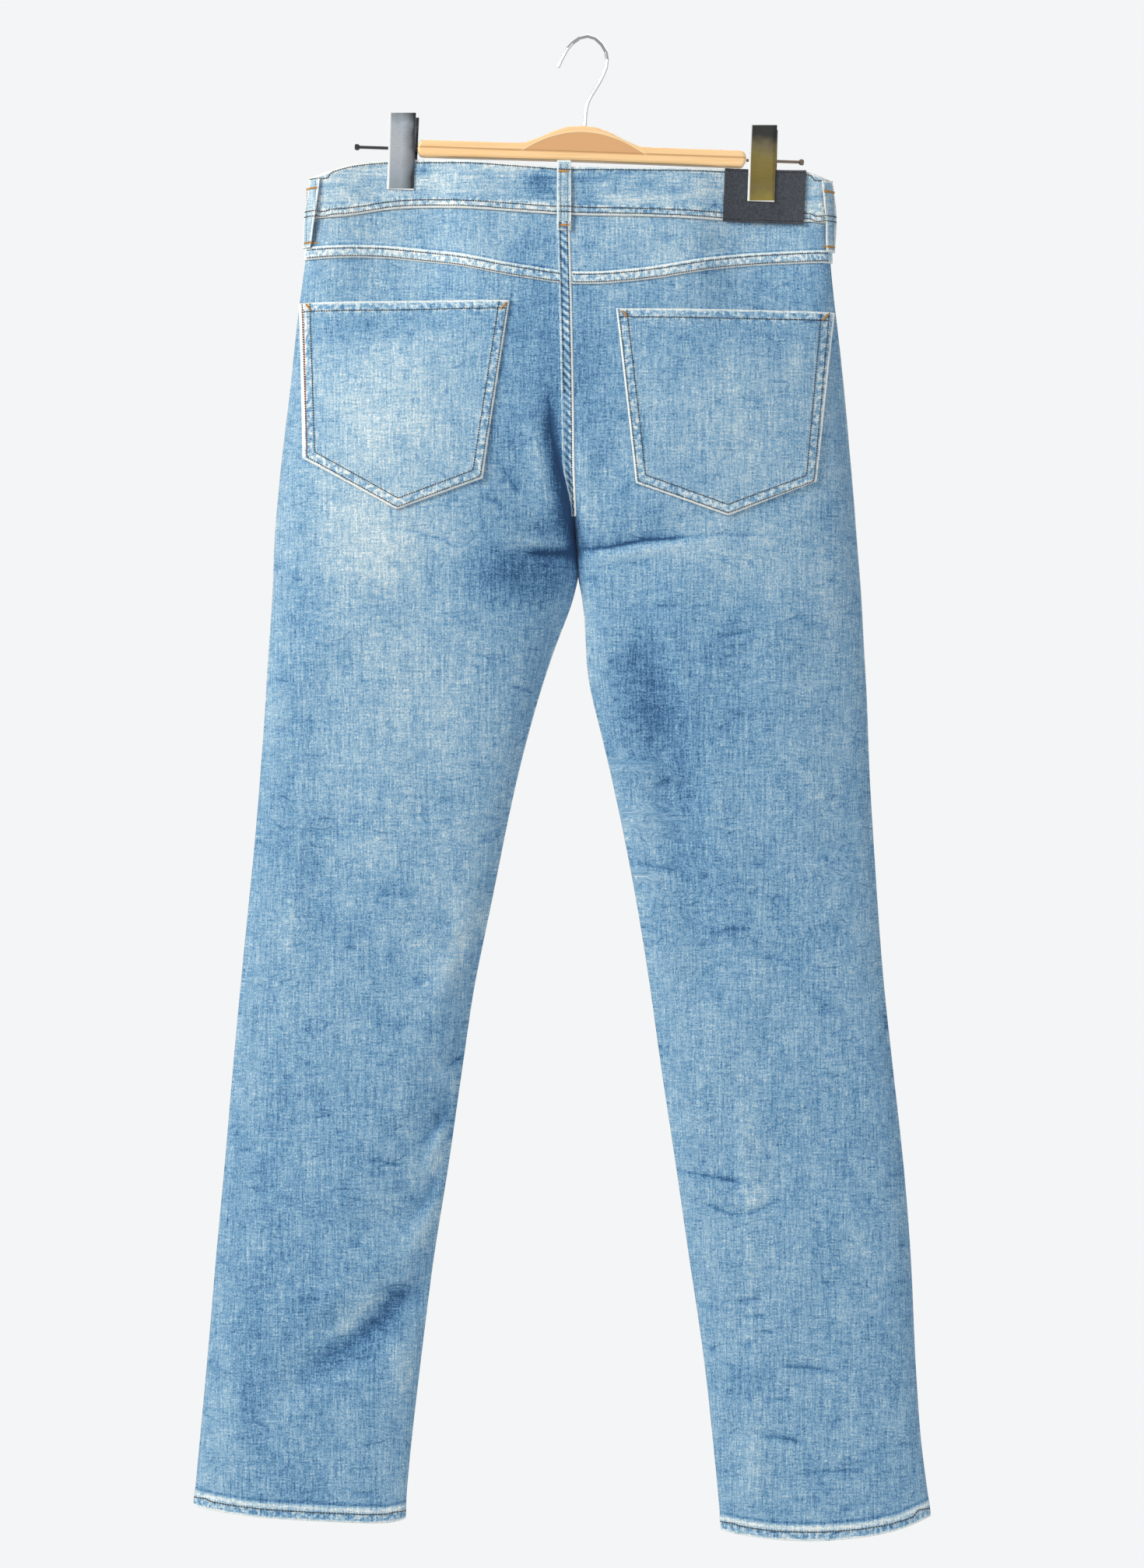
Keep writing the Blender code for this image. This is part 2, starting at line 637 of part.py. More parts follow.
def turned(name, profile, parts, look, steps=16):
    """A turned shape about its own Z axis, from (radius, height) points, top to bottom."""
    build = bmesh.new()
    points = [build.verts.new((radius * MM, 0, height * MM)) for radius, height in profile]
    for upper, lower in zip(points, points[1:]):
        build.edges.new((upper, lower))
    mesh = bpy.data.meshes.new(name)
    build.to_mesh(mesh)
    build.free()
    obj = finish(bpy.data.objects.new(name, mesh), parts, look)
    screw = obj.modifiers.new("turn", "SCREW")
    screw.steps = screw.render_steps = steps
    screw.use_merge_vertices = True
    screw.merge_threshold = 0.00001
    screw.use_smooth_shade = True
    return obj


def waist_button(parts, look):
    middle = section("inner_left", 120)
    x = middle + BAND_LAP / 2 - 2
    drop = waistline("band_top", x) + front_dip(x) + 20
    base = place_x(FRONT, x, drop, BAND_LIFT + LAP_LIFT + BAND_WALL * 1.5 + GAP + 0.2)
    profile = [(0, 2.6), (5.6, 2.9), (7.6, 2.7), (BUTTON_RADIUS, 1.8), (8.2, 1.2), (3.2, 1.0), (3.2, 0), (0, 0)]
    button = turned("waist_button", profile, parts, look)
    button.location = base * MM
    button.rotation_euler = (-pi / 2, 0, 0)
    return button


# ---------------------------------------------------------------- hanger

def outline(name, points, half_depth, bevel, parts, look):
    """A flat outline in its own XY plane, as thick as twice half_depth along its Z."""
    curve = bpy.data.curves.new(name, "CURVE")
    curve.dimensions = "2D"
    curve.fill_mode = "BOTH"
    spline = curve.splines.new("POLY")
    spline.points.add(len(points) - 1)
    for point, (x, y) in zip(spline.points, points):
        point.co = (x * MM, y * MM, 0, 1)
    spline.use_cyclic_u = True
    curve.bevel_depth = bevel * MM
    curve.bevel_resolution = 1
    curve.offset = -bevel * MM
    curve.extrude = (half_depth - bevel) * MM
    return finish(bpy.data.objects.new(name, curve), parts, look)


def hanger_bar(frame, parts, look):
    half = BAR_LENGTH / 2
    top, low = BAR_HEIGHT / 2, -BAR_HEIGHT / 2
    end = BAR_HEIGHT * 0.32
    points = []
    for x in spaced(-half + end, half - end, 23):
        rise = 0.0
        if abs(x) < HUMP_HALF_WIDTH:
            rise = HUMP_HEIGHT * cos(pi / 2 * (abs(x) / HUMP_HALF_WIDTH) ** 1.2) ** 2
        points.append((x, top + rise))
    for middle_x, start in ((half - end, pi / 2), (-half + end, -pi / 2)):
        for angle in spaced(start, start - pi, 7)[1:-1]:
            points.append((middle_x + end * cos(angle), top * sin(angle)))
        if middle_x > 0:
            points.append((half - end, low))
            points.append((0, low + 0.6))
            points.append((-half + end, low))
    bar = outline("hanger_bar", points, BAR_DEPTH / 2, 2.0, parts, look)
    bar.parent = frame
    bar.location = Vector((BAR_MIDDLE_X, 0, -BAR_MIDDLE_DROP)) * MM
    bar.rotation_euler = (pi / 2, 0, 0)
    return bar


def hanger_hook(frame, parts, look):
    curve = bpy.data.curves.new("hanger_hook", "CURVE")
    curve.dimensions = "3D"
    spline = curve.splines.new("BEZIER")
    spline.bezier_points.add(len(HOOK_ROUTE) - 1)
    for point, (x, z) in zip(spline.bezier_points, HOOK_ROUTE):
        point.co = Vector((x, 0, z)) * MM
        point.handle_left_type = point.handle_right_type = "AUTO"
    curve.resolution_u = 2
    curve.bevel_depth = WIRE_RADIUS * MM
    curve.bevel_resolution = 2
    curve.use_fill_caps = True
    hook = finish(bpy.data.objects.new("hanger_hook", curve), parts, look)
    hook.parent = frame
    return hook


def hanger_rail(side, frame, parts, look):
    """The rod outside the wood, with a flared head that stops the clip."""
    sign = -1 if side == LEFT else 1
    start = BAR_MIDDLE_X + sign * (BAR_LENGTH / 2 + GAP)
    length = abs(RAIL_ENDS[0 if side == LEFT else 1] - start)
    head = 3.0
    profile = [(0, length), (RAIL_HEAD_RADIUS * 0.7, length), (RAIL_HEAD_RADIUS, length - 0.8),
               (RAIL_HEAD_RADIUS, length - head), (RAIL_RADIUS, length - head - 1.2), (RAIL_RADIUS, 0), (0, 0)]
    rail = turned("hanger_rail_" + side, profile, parts, look, steps=8)
    rail.parent = frame
    rail.location = Vector((start, 0, -RAIL_DROP)) * MM
    rail.rotation_euler = (0, sign * pi / 2, 0)
    return rail


def clip_plate(name, x, grip, facing, frame, parts, look):
    """A bent metal plate: it grips the waistband low down, passes the barrel and spreads at the top."""
    at_rail = BARREL_RADIUS + GAP + CLIP_METAL / 2
    middle = [(CLIP_SPREAD, -CLIP_TOP), (at_rail + 2.6, -CLIP_TOP - 15), (at_rail, -RAIL_DROP),
              (grip + 0.3, -CLIP_GRIP_TOP), (grip, -CLIP_GRIP_TOP - 4), (grip, -CLIP_BOTTOM)]
    half = CLIP_METAL / 2
    outer = [(y + half, z) for y, z in middle]
    inner = [(y - half, z) for y, z in middle]
    plate = outline(name, [(facing * y, z) for y, z in outer + inner[::-1]], CLIP_WIDTH / 2, 0.2, parts, look)
    plate.parent = frame
    plate.location = (x * MM, 0, 0)
    plate.rotation_euler = (pi / 2, 0, pi / 2)
    return plate


def clip_barrel(side, frame, parts, look):
    """The tube round the rail that the two plates turn on."""
    half, bore = CLIP_WIDTH / 2 - 2.5, RAIL_RADIUS + GAP
    profile = [(bore, half), (BARREL_RADIUS, half), (BARREL_RADIUS, -half), (bore, -half), (bore, half)]
    barrel = turned("clip_" + side + "_barrel", profile, parts, look, steps=12)
    barrel.parent = frame
    barrel.location = Vector((CLIP_X[side], 0, -RAIL_DROP)) * MM
    barrel.rotation_euler = (0, pi / 2, 0)
    return barrel


def clips(frame, parts, metal):
    band_face = HOLD_HALF_GAP + BAND_LIFT + BAND_WALL / 2
    patch_face = band_face + GAP + PATCH_ROOM + PATCH_WALL
    for side in (LEFT, RIGHT):
        back_face = band_face if side == LEFT else patch_face
        clearance = GAP + CLIP_METAL / 2
        clip_plate("clip_" + side + "_plate", CLIP_X[side], back_face + clearance, BACK, frame, parts, metal)
        clip_plate("clip_" + side + "_jaw", CLIP_X[side] + JAW_SHIFT, band_face + clearance, FRONT, frame,
                   parts, metal)
        clip_barrel(side, frame, parts, metal)


# ---------------------------------------------------------------- the whole

def main():
    for obj in list(bpy.data.objects):
        bpy.data.objects.remove(obj, do_unlink=True)
    parts = collection(COLLECTION, bpy.context.scene.collection)
    denim = material("stone washed denim", (0.19, 0.36, 0.58), 0.85)
    pale_denim = material("rubbed denim", (0.33, 0.48, 0.64), 0.85)
    leather = material("charcoal leather", (0.03, 0.03, 0.035), 0.5)
    wood = material("oiled beech", (0.55, 0.3, 0.12), 0.45)
    chrome = material("chromed steel", (0.75, 0.75, 0.76), 0.15, 1.0)
    brass = material("aged brass", (0.4, 0.28, 0.14), 0.35, 1.0)

    for side in (LEFT, RIGHT):
        for sheet in (BACK, FRONT):
            leg_panel(side, sheet, parts, denim)
        yoke(side, parts, denim)
        back_pocket(side, parts, pale_denim)
        pocket_facing(side, parts, denim)
    waistband(parts, denim)
    belt_loops(parts, pale_denim)
    fly(parts, denim)
    label_patch(parts, leather)
    waist_button(parts, brass)

    frame = bpy.data.objects.new("hanger", None)
    parts.objects.link(frame)
    frame.rotation_euler = (0, radians(HANGER_TILT), 0)
    hanger_bar(frame, parts, wood)
    hanger_hook(frame, parts, chrome)
    for side in (LEFT, RIGHT):
        hanger_rail(side, frame, parts, chrome)
    clips(frame, parts, chrome)


main()
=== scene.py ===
import json
import math

import bpy
import numpy as np
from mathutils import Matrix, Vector
from mathutils.bvhtree import BVHTree
from mathutils.kdtree import KDTree

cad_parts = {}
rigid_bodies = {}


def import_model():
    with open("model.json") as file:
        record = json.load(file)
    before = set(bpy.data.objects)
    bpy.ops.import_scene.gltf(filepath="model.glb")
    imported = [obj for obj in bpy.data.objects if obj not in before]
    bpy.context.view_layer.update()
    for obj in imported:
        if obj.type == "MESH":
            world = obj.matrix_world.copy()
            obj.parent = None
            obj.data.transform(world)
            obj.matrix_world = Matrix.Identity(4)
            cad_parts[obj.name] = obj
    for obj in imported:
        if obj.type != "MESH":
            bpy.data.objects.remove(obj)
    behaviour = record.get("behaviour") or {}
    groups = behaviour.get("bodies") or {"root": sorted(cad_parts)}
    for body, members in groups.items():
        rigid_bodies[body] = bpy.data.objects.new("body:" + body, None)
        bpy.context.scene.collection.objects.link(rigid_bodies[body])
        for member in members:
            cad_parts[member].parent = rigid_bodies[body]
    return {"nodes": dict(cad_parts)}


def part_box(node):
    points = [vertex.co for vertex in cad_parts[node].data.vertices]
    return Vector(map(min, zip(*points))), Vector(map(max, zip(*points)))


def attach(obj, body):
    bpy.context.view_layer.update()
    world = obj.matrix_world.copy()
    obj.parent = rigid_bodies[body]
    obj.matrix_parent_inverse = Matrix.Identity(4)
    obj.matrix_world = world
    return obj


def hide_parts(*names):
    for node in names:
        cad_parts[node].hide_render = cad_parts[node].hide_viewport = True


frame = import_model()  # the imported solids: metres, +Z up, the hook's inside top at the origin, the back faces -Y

mm = 0.001
backSheet, frontSheet = -1, 1
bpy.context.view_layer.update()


def linear(hexColour):
    # an sRGB hex colour as linear light
    channels = [int(hexColour[i:i + 2], 16) / 255 for i in (1, 3, 5)]
    return (*[c / 12.92 if c <= 0.04045 else ((c + 0.055) / 1.055) ** 2.4 for c in channels], 1.0)


def makeActive(obj):
    for other in bpy.context.scene.objects:
        other.select_set(False)
    obj.select_set(True)
    bpy.context.view_layer.objects.active = obj


def addObject(name, data):
    obj = bpy.data.objects.new(name, data)
    bpy.context.scene.collection.objects.link(obj)
    return obj


def ease(low, high, at):
    t = np.clip((at - low) / (high - low), 0, 1)
    return t * t * (3 - 2 * t)


# ---- camera, floor and light

view = {
    "distance": 3.0,           # m, from the lens to the hanger's plane
    "frameHeight": 1.2628,     # m of that plane in the picture's height
    "middleX": -0.0125,
    "middleZ": -0.6007,
    "sensor": 36,
}


def addCamera():
    camera = bpy.data.cameras.new("camera")
    camera.sensor_width = view["sensor"]
    camera.lens = view["sensor"] * view["distance"] / view["frameHeight"]
    camera.clip_end = 50
    obj = addObject("camera", camera)
    obj.location = (view["middleX"], -view["distance"], view["middleZ"])
    obj.rotation_euler = (math.pi / 2, 0, 0)
    bpy.context.scene.camera = obj
    bpy.context.scene.view_settings.view_transform = "Standard"


studio = {
    "floorDrop": -1.5,
    "floorSize": 2.4,
    "floorColour": "#EDECEA",
    "background": "#F4F5F6",
    "ambient": 0.5,
}
lamps = [  # name, place, size, watts, colour: each one points at the middle of the garment
    ("window_on_the_left", (-2.3, -1.7, 1.0), 1.2, 88, "#FFFAF2"),
    ("bounce_on_the_right", (2.4, -2.2, -0.4), 2.2, 14, "#F2F7FF"),
    ("bounce_behind", (0.6, 2.6, 0.6), 2.2, 34, "#FFFFFF"),
]


def addLights():
    world = bpy.data.worlds.new("pale studio")
    bpy.context.scene.world = world
    world.use_nodes = True
    tree = world.node_tree
    tree.nodes.clear()
    seen = addNode(tree, "ShaderNodeBackground", {"Color": linear(studio["background"]), "Strength": 1.0})
    light = addNode(tree, "ShaderNodeBackground", {"Color": (1, 1, 1, 1), "Strength": studio["ambient"]})
    rays = addNode(tree, "ShaderNodeLightPath")
    mixed = addNode(tree, "ShaderNodeMixShader", {0: (rays, "Is Camera Ray"), 1: light, 2: seen})
    addNode(tree, "ShaderNodeOutputWorld", {"Surface": mixed})
    for name, place, size, watts, colour in lamps:
        lamp = bpy.data.lights.new(name, "AREA")
        lamp.shape = "SQUARE"
        lamp.size = size
        lamp.energy = watts
        lamp.color = linear(colour)[:3]
        obj = addObject(name, lamp)
        obj.location = place
        target = Vector((0, 0, view["middleZ"]))
        obj.rotation_euler = (target - Vector(place)).to_track_quat("-Z", "Y").to_euler()


def addFloor():
    bpy.ops.mesh.primitive_plane_add(size=studio["floorSize"], location=(0, 0, studio["floorDrop"]))
    floor = bpy.context.active_object
    floor.name = "floor"
    material = bpy.data.materials.new("pale painted floor")
    material.use_nodes = True
    shader = material.node_tree.nodes["Principled BSDF"]
    shader.inputs["Base Color"].default_value = linear(studio["floorColour"])
    shader.inputs["Roughness"].default_value = 0.8
    floor.data.materials.append(material)


# ---- materials

def addNode(tree, kind, inputs=None, **settings):
    # a node with its settings; each input is a value, a node (its first output), or (node, output)
    node = tree.nodes.new(kind)
    for key, value in settings.items():
        setattr(node, key, value)
    for key, value in (inputs or {}).items():
        socket = node.inputs[key]
        if isinstance(value, bpy.types.Node):
            tree.links.new(value.outputs[0], socket)
        elif isinstance(value, tuple) and isinstance(value[0], bpy.types.Node):
            tree.links.new(value[0].outputs[value[1]], socket)
        else:
            socket.default_value = value
    return node


def reckon(tree, operation, a, b=0.0, c=0.0, clamp=False):
    return addNode(tree, "ShaderNodeMath", {0: a, 1: b, 2: c}, operation=operation, use_clamp=clamp)


def remap(tree, value, fromLow, fromHigh, low=0.0, high=1.0):
    # low where value is fromLow, high where it is fromHigh, even between them and held outside them
    return addNode(tree, "ShaderNodeMapRange", {"Value": value, "From Min": fromLow, "From Max": fromHigh,
                                               "To Min": low, "To Max": high})


def times(tree, a, b):
    return addNode(tree, "ShaderNodeVectorMath", {0: a, 1: b}, operation="MULTIPLY")


def newMaterial(name):
    material = bpy.data.materials.new(name)
    material.use_nodes = True
    material.node_tree.nodes.clear()
    return material, material.node_tree


def finished(material, inputs):
    shader = addNode(material.node_tree, "ShaderNodeBsdfPrincipled", inputs)
    addNode(material.node_tree, "ShaderNodeOutputMaterial", {"Surface": shader})
    return material


def noise(tree, place, width, stretch=(1, 1, 1), detail=2.0, roughness=0.5):
    # noise with lumps about `width` mm wide, drawn out along each way by stretch
    scale = [1 / (width * s) for s in stretch]
    spread = addNode(tree, "ShaderNodeMapping", {"Vector": place, "Scale": scale})
    node = addNode(tree, "ShaderNodeTexNoise", {"Vector": spread, "Scale": 1.0, "Detail": detail,
                                               "Roughness": roughness})
    return node, "Fac"


def objectPlace(tree):
    # the object's own coordinates in mm
    own = addNode(tree, "ShaderNodeTexCoord")
    return times(tree, (own, "Object"), (1000, 1000, 1000))


denimColours = [  # from indigo to bare cotton, by how much of the dye is washed out, made darker or paler by the painted shade and highlights added to that share
    (0.0, "#284B73"),
    (0.2, "#436F99"),
    (0.42, "#6B98BC"),
    (0.6, "#8FB2CB"),
    (0.78, "#B2CAD8"),
    (0.92, "#D2DFE2"),
    (1.0, "#E6EDEE"),
]


def denim(name, rubbing=1.0):
    # stretch denim, a twill stone washed pale: the eye sees a heather of blue warp and white weft, short
    # upright slubs, cloudy fades, white rubbed edges and blue flecks between the rows of stitches; its tone
    # attribute and its laps also carry painted shade and highlights
    material, tree = newMaterial(name)
    uv = addNode(tree, "ShaderNodeUVMap", uv_map="cloth")
    place = times(tree, uv, (1000, 1000, 1000))
    tone = addNode(tree, "ShaderNodeAttribute", attribute_name="tone")
    edge = addNode(tree, "ShaderNodeAttribute", attribute_name="edge")
    seam = addNode(tree, "ShaderNodeAttribute", attribute_name="seam")
    lap = addNode(tree, "ShaderNodeAttribute", attribute_name="lap")
    slub = noise(tree, place, 1.2, (1, 9, 1), 3, 0.6)  # warp slubs
    longSlub = noise(tree, place, 2.1, (1, 28, 1))
    weft = noise(tree, place, 1.3, (6, 1, 1), 2, 0.6)
    speck = noise(tree, place, 1.5, (1, 1, 1), 2, 0.7)  # the heather, as coarse as it needs to show
    cloud = noise(tree, place, 20, (1, 1.4, 1), 3, 0.55)  # the wash's clouds
    wrinkle = noise(tree, place, 4.2, (4, 1, 1), 2, 0.5)  # fine creases across the leg
    total = (tone, "Fac")
    for source, amount in ((slub, 0.76), (longSlub, 0.4), (weft, 0.55), (speck, 1.02), (cloud, 0.3),
                           (wrinkle, 0.3)):
        total = reckon(tree, "ADD", total, reckon(tree, "MULTIPLY_ADD", source, amount, -amount / 2))
    # thin crumple lines in patches, where the cloth was folded in the wash: the level line of a noise, a groove in
    # the bump with painted shade along it
    crumple = noise(tree, place, 17, (2.2, 1, 1), 1, 0.5)
    patches = remap(tree, noise(tree, place, 16, (1.6, 1, 1)), 0.5, 0.62)
    level = reckon(tree, "ABSOLUTE", reckon(tree, "SUBTRACT", crumple, 0.5))
    line = remap(tree, level, 0.0, 0.03, 1.0, 0.0)
    line = reckon(tree, "MULTIPLY", line, patches)
    total = reckon(tree, "ADD", total, reckon(tree, "MULTIPLY", line, -0.13))
    # between the rows of stitches the cloth is drawn up: pale lumps and dark blue flecks across the seam
    fleck = noise(tree, place, 3.8, (1, 1, 1), 1, 0.4)
    lumps = remap(tree, fleck, 0.42, 0.58, -0.3, 0.05)
    between = remap(tree, (edge, "Fac"), 1.4, 2.6)
    lumps = reckon(tree, "MULTIPLY_ADD", lumps, between, 0.2)
    total = reckon(tree, "ADD", total, reckon(tree, "MULTIPLY", (seam, "Fac"), lumps))
    # the rubbed edge: nearly white along it, uneven
    for middle, reach, amount in ((9.7, 1.2, 0.42), (11.4, 1.2, -0.16)):  # a lap's worn white edge, and a painted shadow beside it
        aside = reckon(tree, "ABSOLUTE", reckon(tree, "SUBTRACT", (lap, "Fac"), middle))
        band = remap(tree, aside, reach * 0.3, reach, amount, 0.0)
        total = reckon(tree, "ADD", total, band)
    near = remap(tree, (edge, "Fac"), 0.3, 1.9, 1.0, 0.0)
    rub = reckon(tree, "MULTIPLY_ADD", noise(tree, place, 5, (1, 1, 1), 2, 0.6), 0.9, 0.25)
    total = reckon(tree, "ADD", total, reckon(tree, "MULTIPLY", reckon(tree, "MULTIPLY", near, rub),
                                              0.62 * rubbing))
    ramp = colourRamp(tree, reckon(tree, "ADD", total, 0.0, clamp=True), denimColours)
    relief = reckon(tree, "MULTIPLY_ADD", slub, 0.5, reckon(tree, "MULTIPLY", speck, 0.4))
    relief = reckon(tree, "MULTIPLY_ADD", wrinkle, 0.9, relief)
    relief = reckon(tree, "MULTIPLY_ADD", line, -1.0, relief)
    relief = reckon(tree, "ADD", relief, reckon(tree, "MULTIPLY", (seam, "Fac"), reckon(tree, "MULTIPLY",
                                                fleck, 1.8)))
    bump = addNode(tree, "ShaderNodeBump", {"Height": relief, "Strength": 0.55, "Distance": 0.0006})
    return finished(material, {
        "Base Color": ramp, "Roughness": 0.86, "Specular IOR Level": 0.25, "Sheen Weight": 0.1,
        "Sheen Roughness": 0.5, "Normal": bump})


def plain(name, colour, roughness, metallic=0.0, mottle=0.0, width=1.0, bumpDepth=0.0, stretch=(1, 1, 1)):
    # one colour, unevenly lighter and darker by mottle, with a bumpy surface of lumps `width` mm wide
    material, tree = newMaterial(name)
    lump = noise(tree, objectPlace(tree), width, stretch, 3, 0.6)
    shade = remap(tree, lump, 0.3, 0.7, 1 - mottle, 1 + mottle)
    tint = times(tree, linear(colour)[:3], shade)
    bump = addNode(tree, "ShaderNodeBump", {"Height": lump, "Strength": 0.5, "Distance": bumpDepth * mm})
    return finished(material, {"Base Color": tint, "Roughness": roughness,
                     "Metallic": metallic, "Normal": bump})


def mixColour(tree, share, a, b):
    node = tree.nodes.new("ShaderNodeMix")
    node.data_type = "RGBA"
    for index, value in ((0, share), (6, a), (7, b)):
        if isinstance(value, bpy.types.Node):
            tree.links.new(value.outputs[0], node.inputs[index])
        elif isinstance(value[0], bpy.types.Node):
            tree.links.new(value[0].outputs[value[1]], node.inputs[index])
        else:
            node.inputs[index].default_value = value
    return node


def colourRamp(tree, share, stops):
    ramp = addNode(tree, "ShaderNodeValToRGB", {"Fac": share})
    elements = ramp.color_ramp.elements
    while len(elements) < len(stops):
        elements.new(0.5)
    for element, (at, colour) in zip(elements, stops):
        element.position = at
        element.color = linear(colour)
    return ramp


def plate(name, node, paintedReflectionUp, across):
    # a chrome plate: painted reflections of the room as soft tones up and across it, tiny pits, and a painted white
    # highlight along its folded rim
    points = np.array([vertex.co for vertex in frame["nodes"][node].data.vertices]) / mm
    low, high = points.min(axis=0), points.max(axis=0)
    foot = points[points[:, 2] < low[2] + 3]
    head = points[points[:, 2] > high[2] - 3]
    height = high[2] - low[2]
    width = foot[:, 0].max() - foot[:, 0].min()
    lean = (head[:, 0].min() - foot[:, 0].min()) / height
    material, tree = newMaterial(name)
    place = objectPlace(tree)
    split = addNode(tree, "ShaderNodeSeparateXYZ", {0: place})
    up = reckon(tree, "ADD", (split, "Z"), -low[2])
    aside = reckon(tree, "MULTIPLY_ADD", up, -lean, reckon(tree, "ADD", (split, "X"), -foot[:, 0].min()))
    pits = noise(tree, place, 0.7, (1, 1, 1), 3, 0.7)
    drift = reckon(tree, "MULTIPLY_ADD", noise(tree, place, 11, (1, 1, 1), 1, 0.5), 0.24, -0.12)
    upShare = reckon(tree, "ADD", reckon(tree, "MULTIPLY", up, 1 / height), drift, clamp=True)
    acrossShare = reckon(tree, "ADD", reckon(tree, "MULTIPLY", aside, 1 / width), drift, clamp=True)
    # painted reflection: the room's tones as colour ramps up and across the plate
    stops = [(i / (len(paintedReflectionUp) - 1), colour) for i, colour in enumerate(paintedReflectionUp)]
    paintedReflectionUpTone = colourRamp(tree, upShare, stops)
    paintedReflectionAcrossTone = colourRamp(tree, acrossShare, across)
    tone = times(tree, paintedReflectionUpTone, paintedReflectionAcrossTone)
    speckle = remap(tree, pits, 0.3, 0.7, 0.84, 1.16)
    tone = times(tree, tone, speckle)
    # painted highlight: a white, less metallic band along the plate's folded rim
    ends = reckon(tree, "MINIMUM", up, reckon(tree, "MULTIPLY_ADD", up, -1.0, height))
    toRim = reckon(tree, "MINIMUM", ends, reckon(tree, "MULTIPLY", aside, 0.6))
    rim = remap(tree, toRim, 0.7, 1.2, 1.0, 0.0)
    colour = mixColour(tree, rim, (tone, 0), linear("#F4F6F8"))
    bump = addNode(tree, "ShaderNodeBump", {"Height": pits, "Strength": 0.25, "Distance": 0.1 * mm})
    return finished(material, {"Base Color": (colour, 2), "Roughness": 0.22,
                     "Metallic": reckon(tree, "MULTIPLY_ADD", rim, -0.85, 1.0), "Normal": bump})


grooveLine = {"drop": 93.0, "slope": -0.0336, "lensMiddle": -3.0, "lensReach": 49.0, "lensHeight": 16.3}


def beech(name):
    # lacquered beech: the eye sees honey wood with fine grain along the bar, a darker groove along its
    # middle and a tan lens let into the hump, with a pale rim
    material, tree = newMaterial(name)
    place = objectPlace(tree)
    split = addNode(tree, "ShaderNodeSeparateXYZ", {0: place})
    line = grooveLine
    level = reckon(tree, "MULTIPLY_ADD", (split, "X"), -line["slope"], line["drop"])
    above = reckon(tree, "ADD", (split, "Z"), level)                # mm over the groove
    across = reckon(tree, "MULTIPLY_ADD", (split, "X"), 1 / line["lensReach"],
                    -line["lensMiddle"] / line["lensReach"])
    arc = reckon(tree, "MULTIPLY_ADD", reckon(tree, "MULTIPLY", across, across), -line["lensHeight"],
                 line["lensHeight"])
    below = reckon(tree, "SUBTRACT", arc, above)                    # mm under the lens's edge
    inside = remap(tree, reckon(tree, "MINIMUM", below, above), 0.0, 0.5)
    toArc = reckon(tree, "ABSOLUTE", reckon(tree, "ADD", below, 0.5))
    rim = remap(tree, toArc, 0.9, 0.2)
    overGroove = remap(tree, above, -0.6, 0.2)
    rim = reckon(tree, "MULTIPLY", rim, overGroove)
    groove = remap(tree, reckon(tree, "ABSOLUTE", above), 0.9, 0.25)
    grain = noise(tree, place, 1.3, (40, 3, 1), 4, 0.6)
    honey = mixColour(tree, grain, linear("#EBBB7E"), linear("#FFDDAA"))
    tan = mixColour(tree, inside, (honey, 2), linear("#D7A673"))
    lined = mixColour(tree, reckon(tree, "MULTIPLY", groove, 0.6), (tan, 2), linear("#B87A40"))
    edged = mixColour(tree, reckon(tree, "MULTIPLY", rim, 0.7), (lined, 2), linear("#F8DCB4"))
    relief = reckon(tree, "MULTIPLY_ADD", groove, -1.0, reckon(tree, "MULTIPLY", inside, -0.6))
    bump = addNode(tree, "ShaderNodeBump", {"Height": relief, "Strength": 0.8, "Distance": 0.6 * mm})
    return finished(material, {"Base Color": (edged, 2), "Roughness": 0.42,
                     "Coat Weight": 0.25, "Coat Roughness": 0.2, "Normal": bump})


# ---- creases: soft troughs (height under 0) and ridges along bent lines, in mm on the hanging cloth

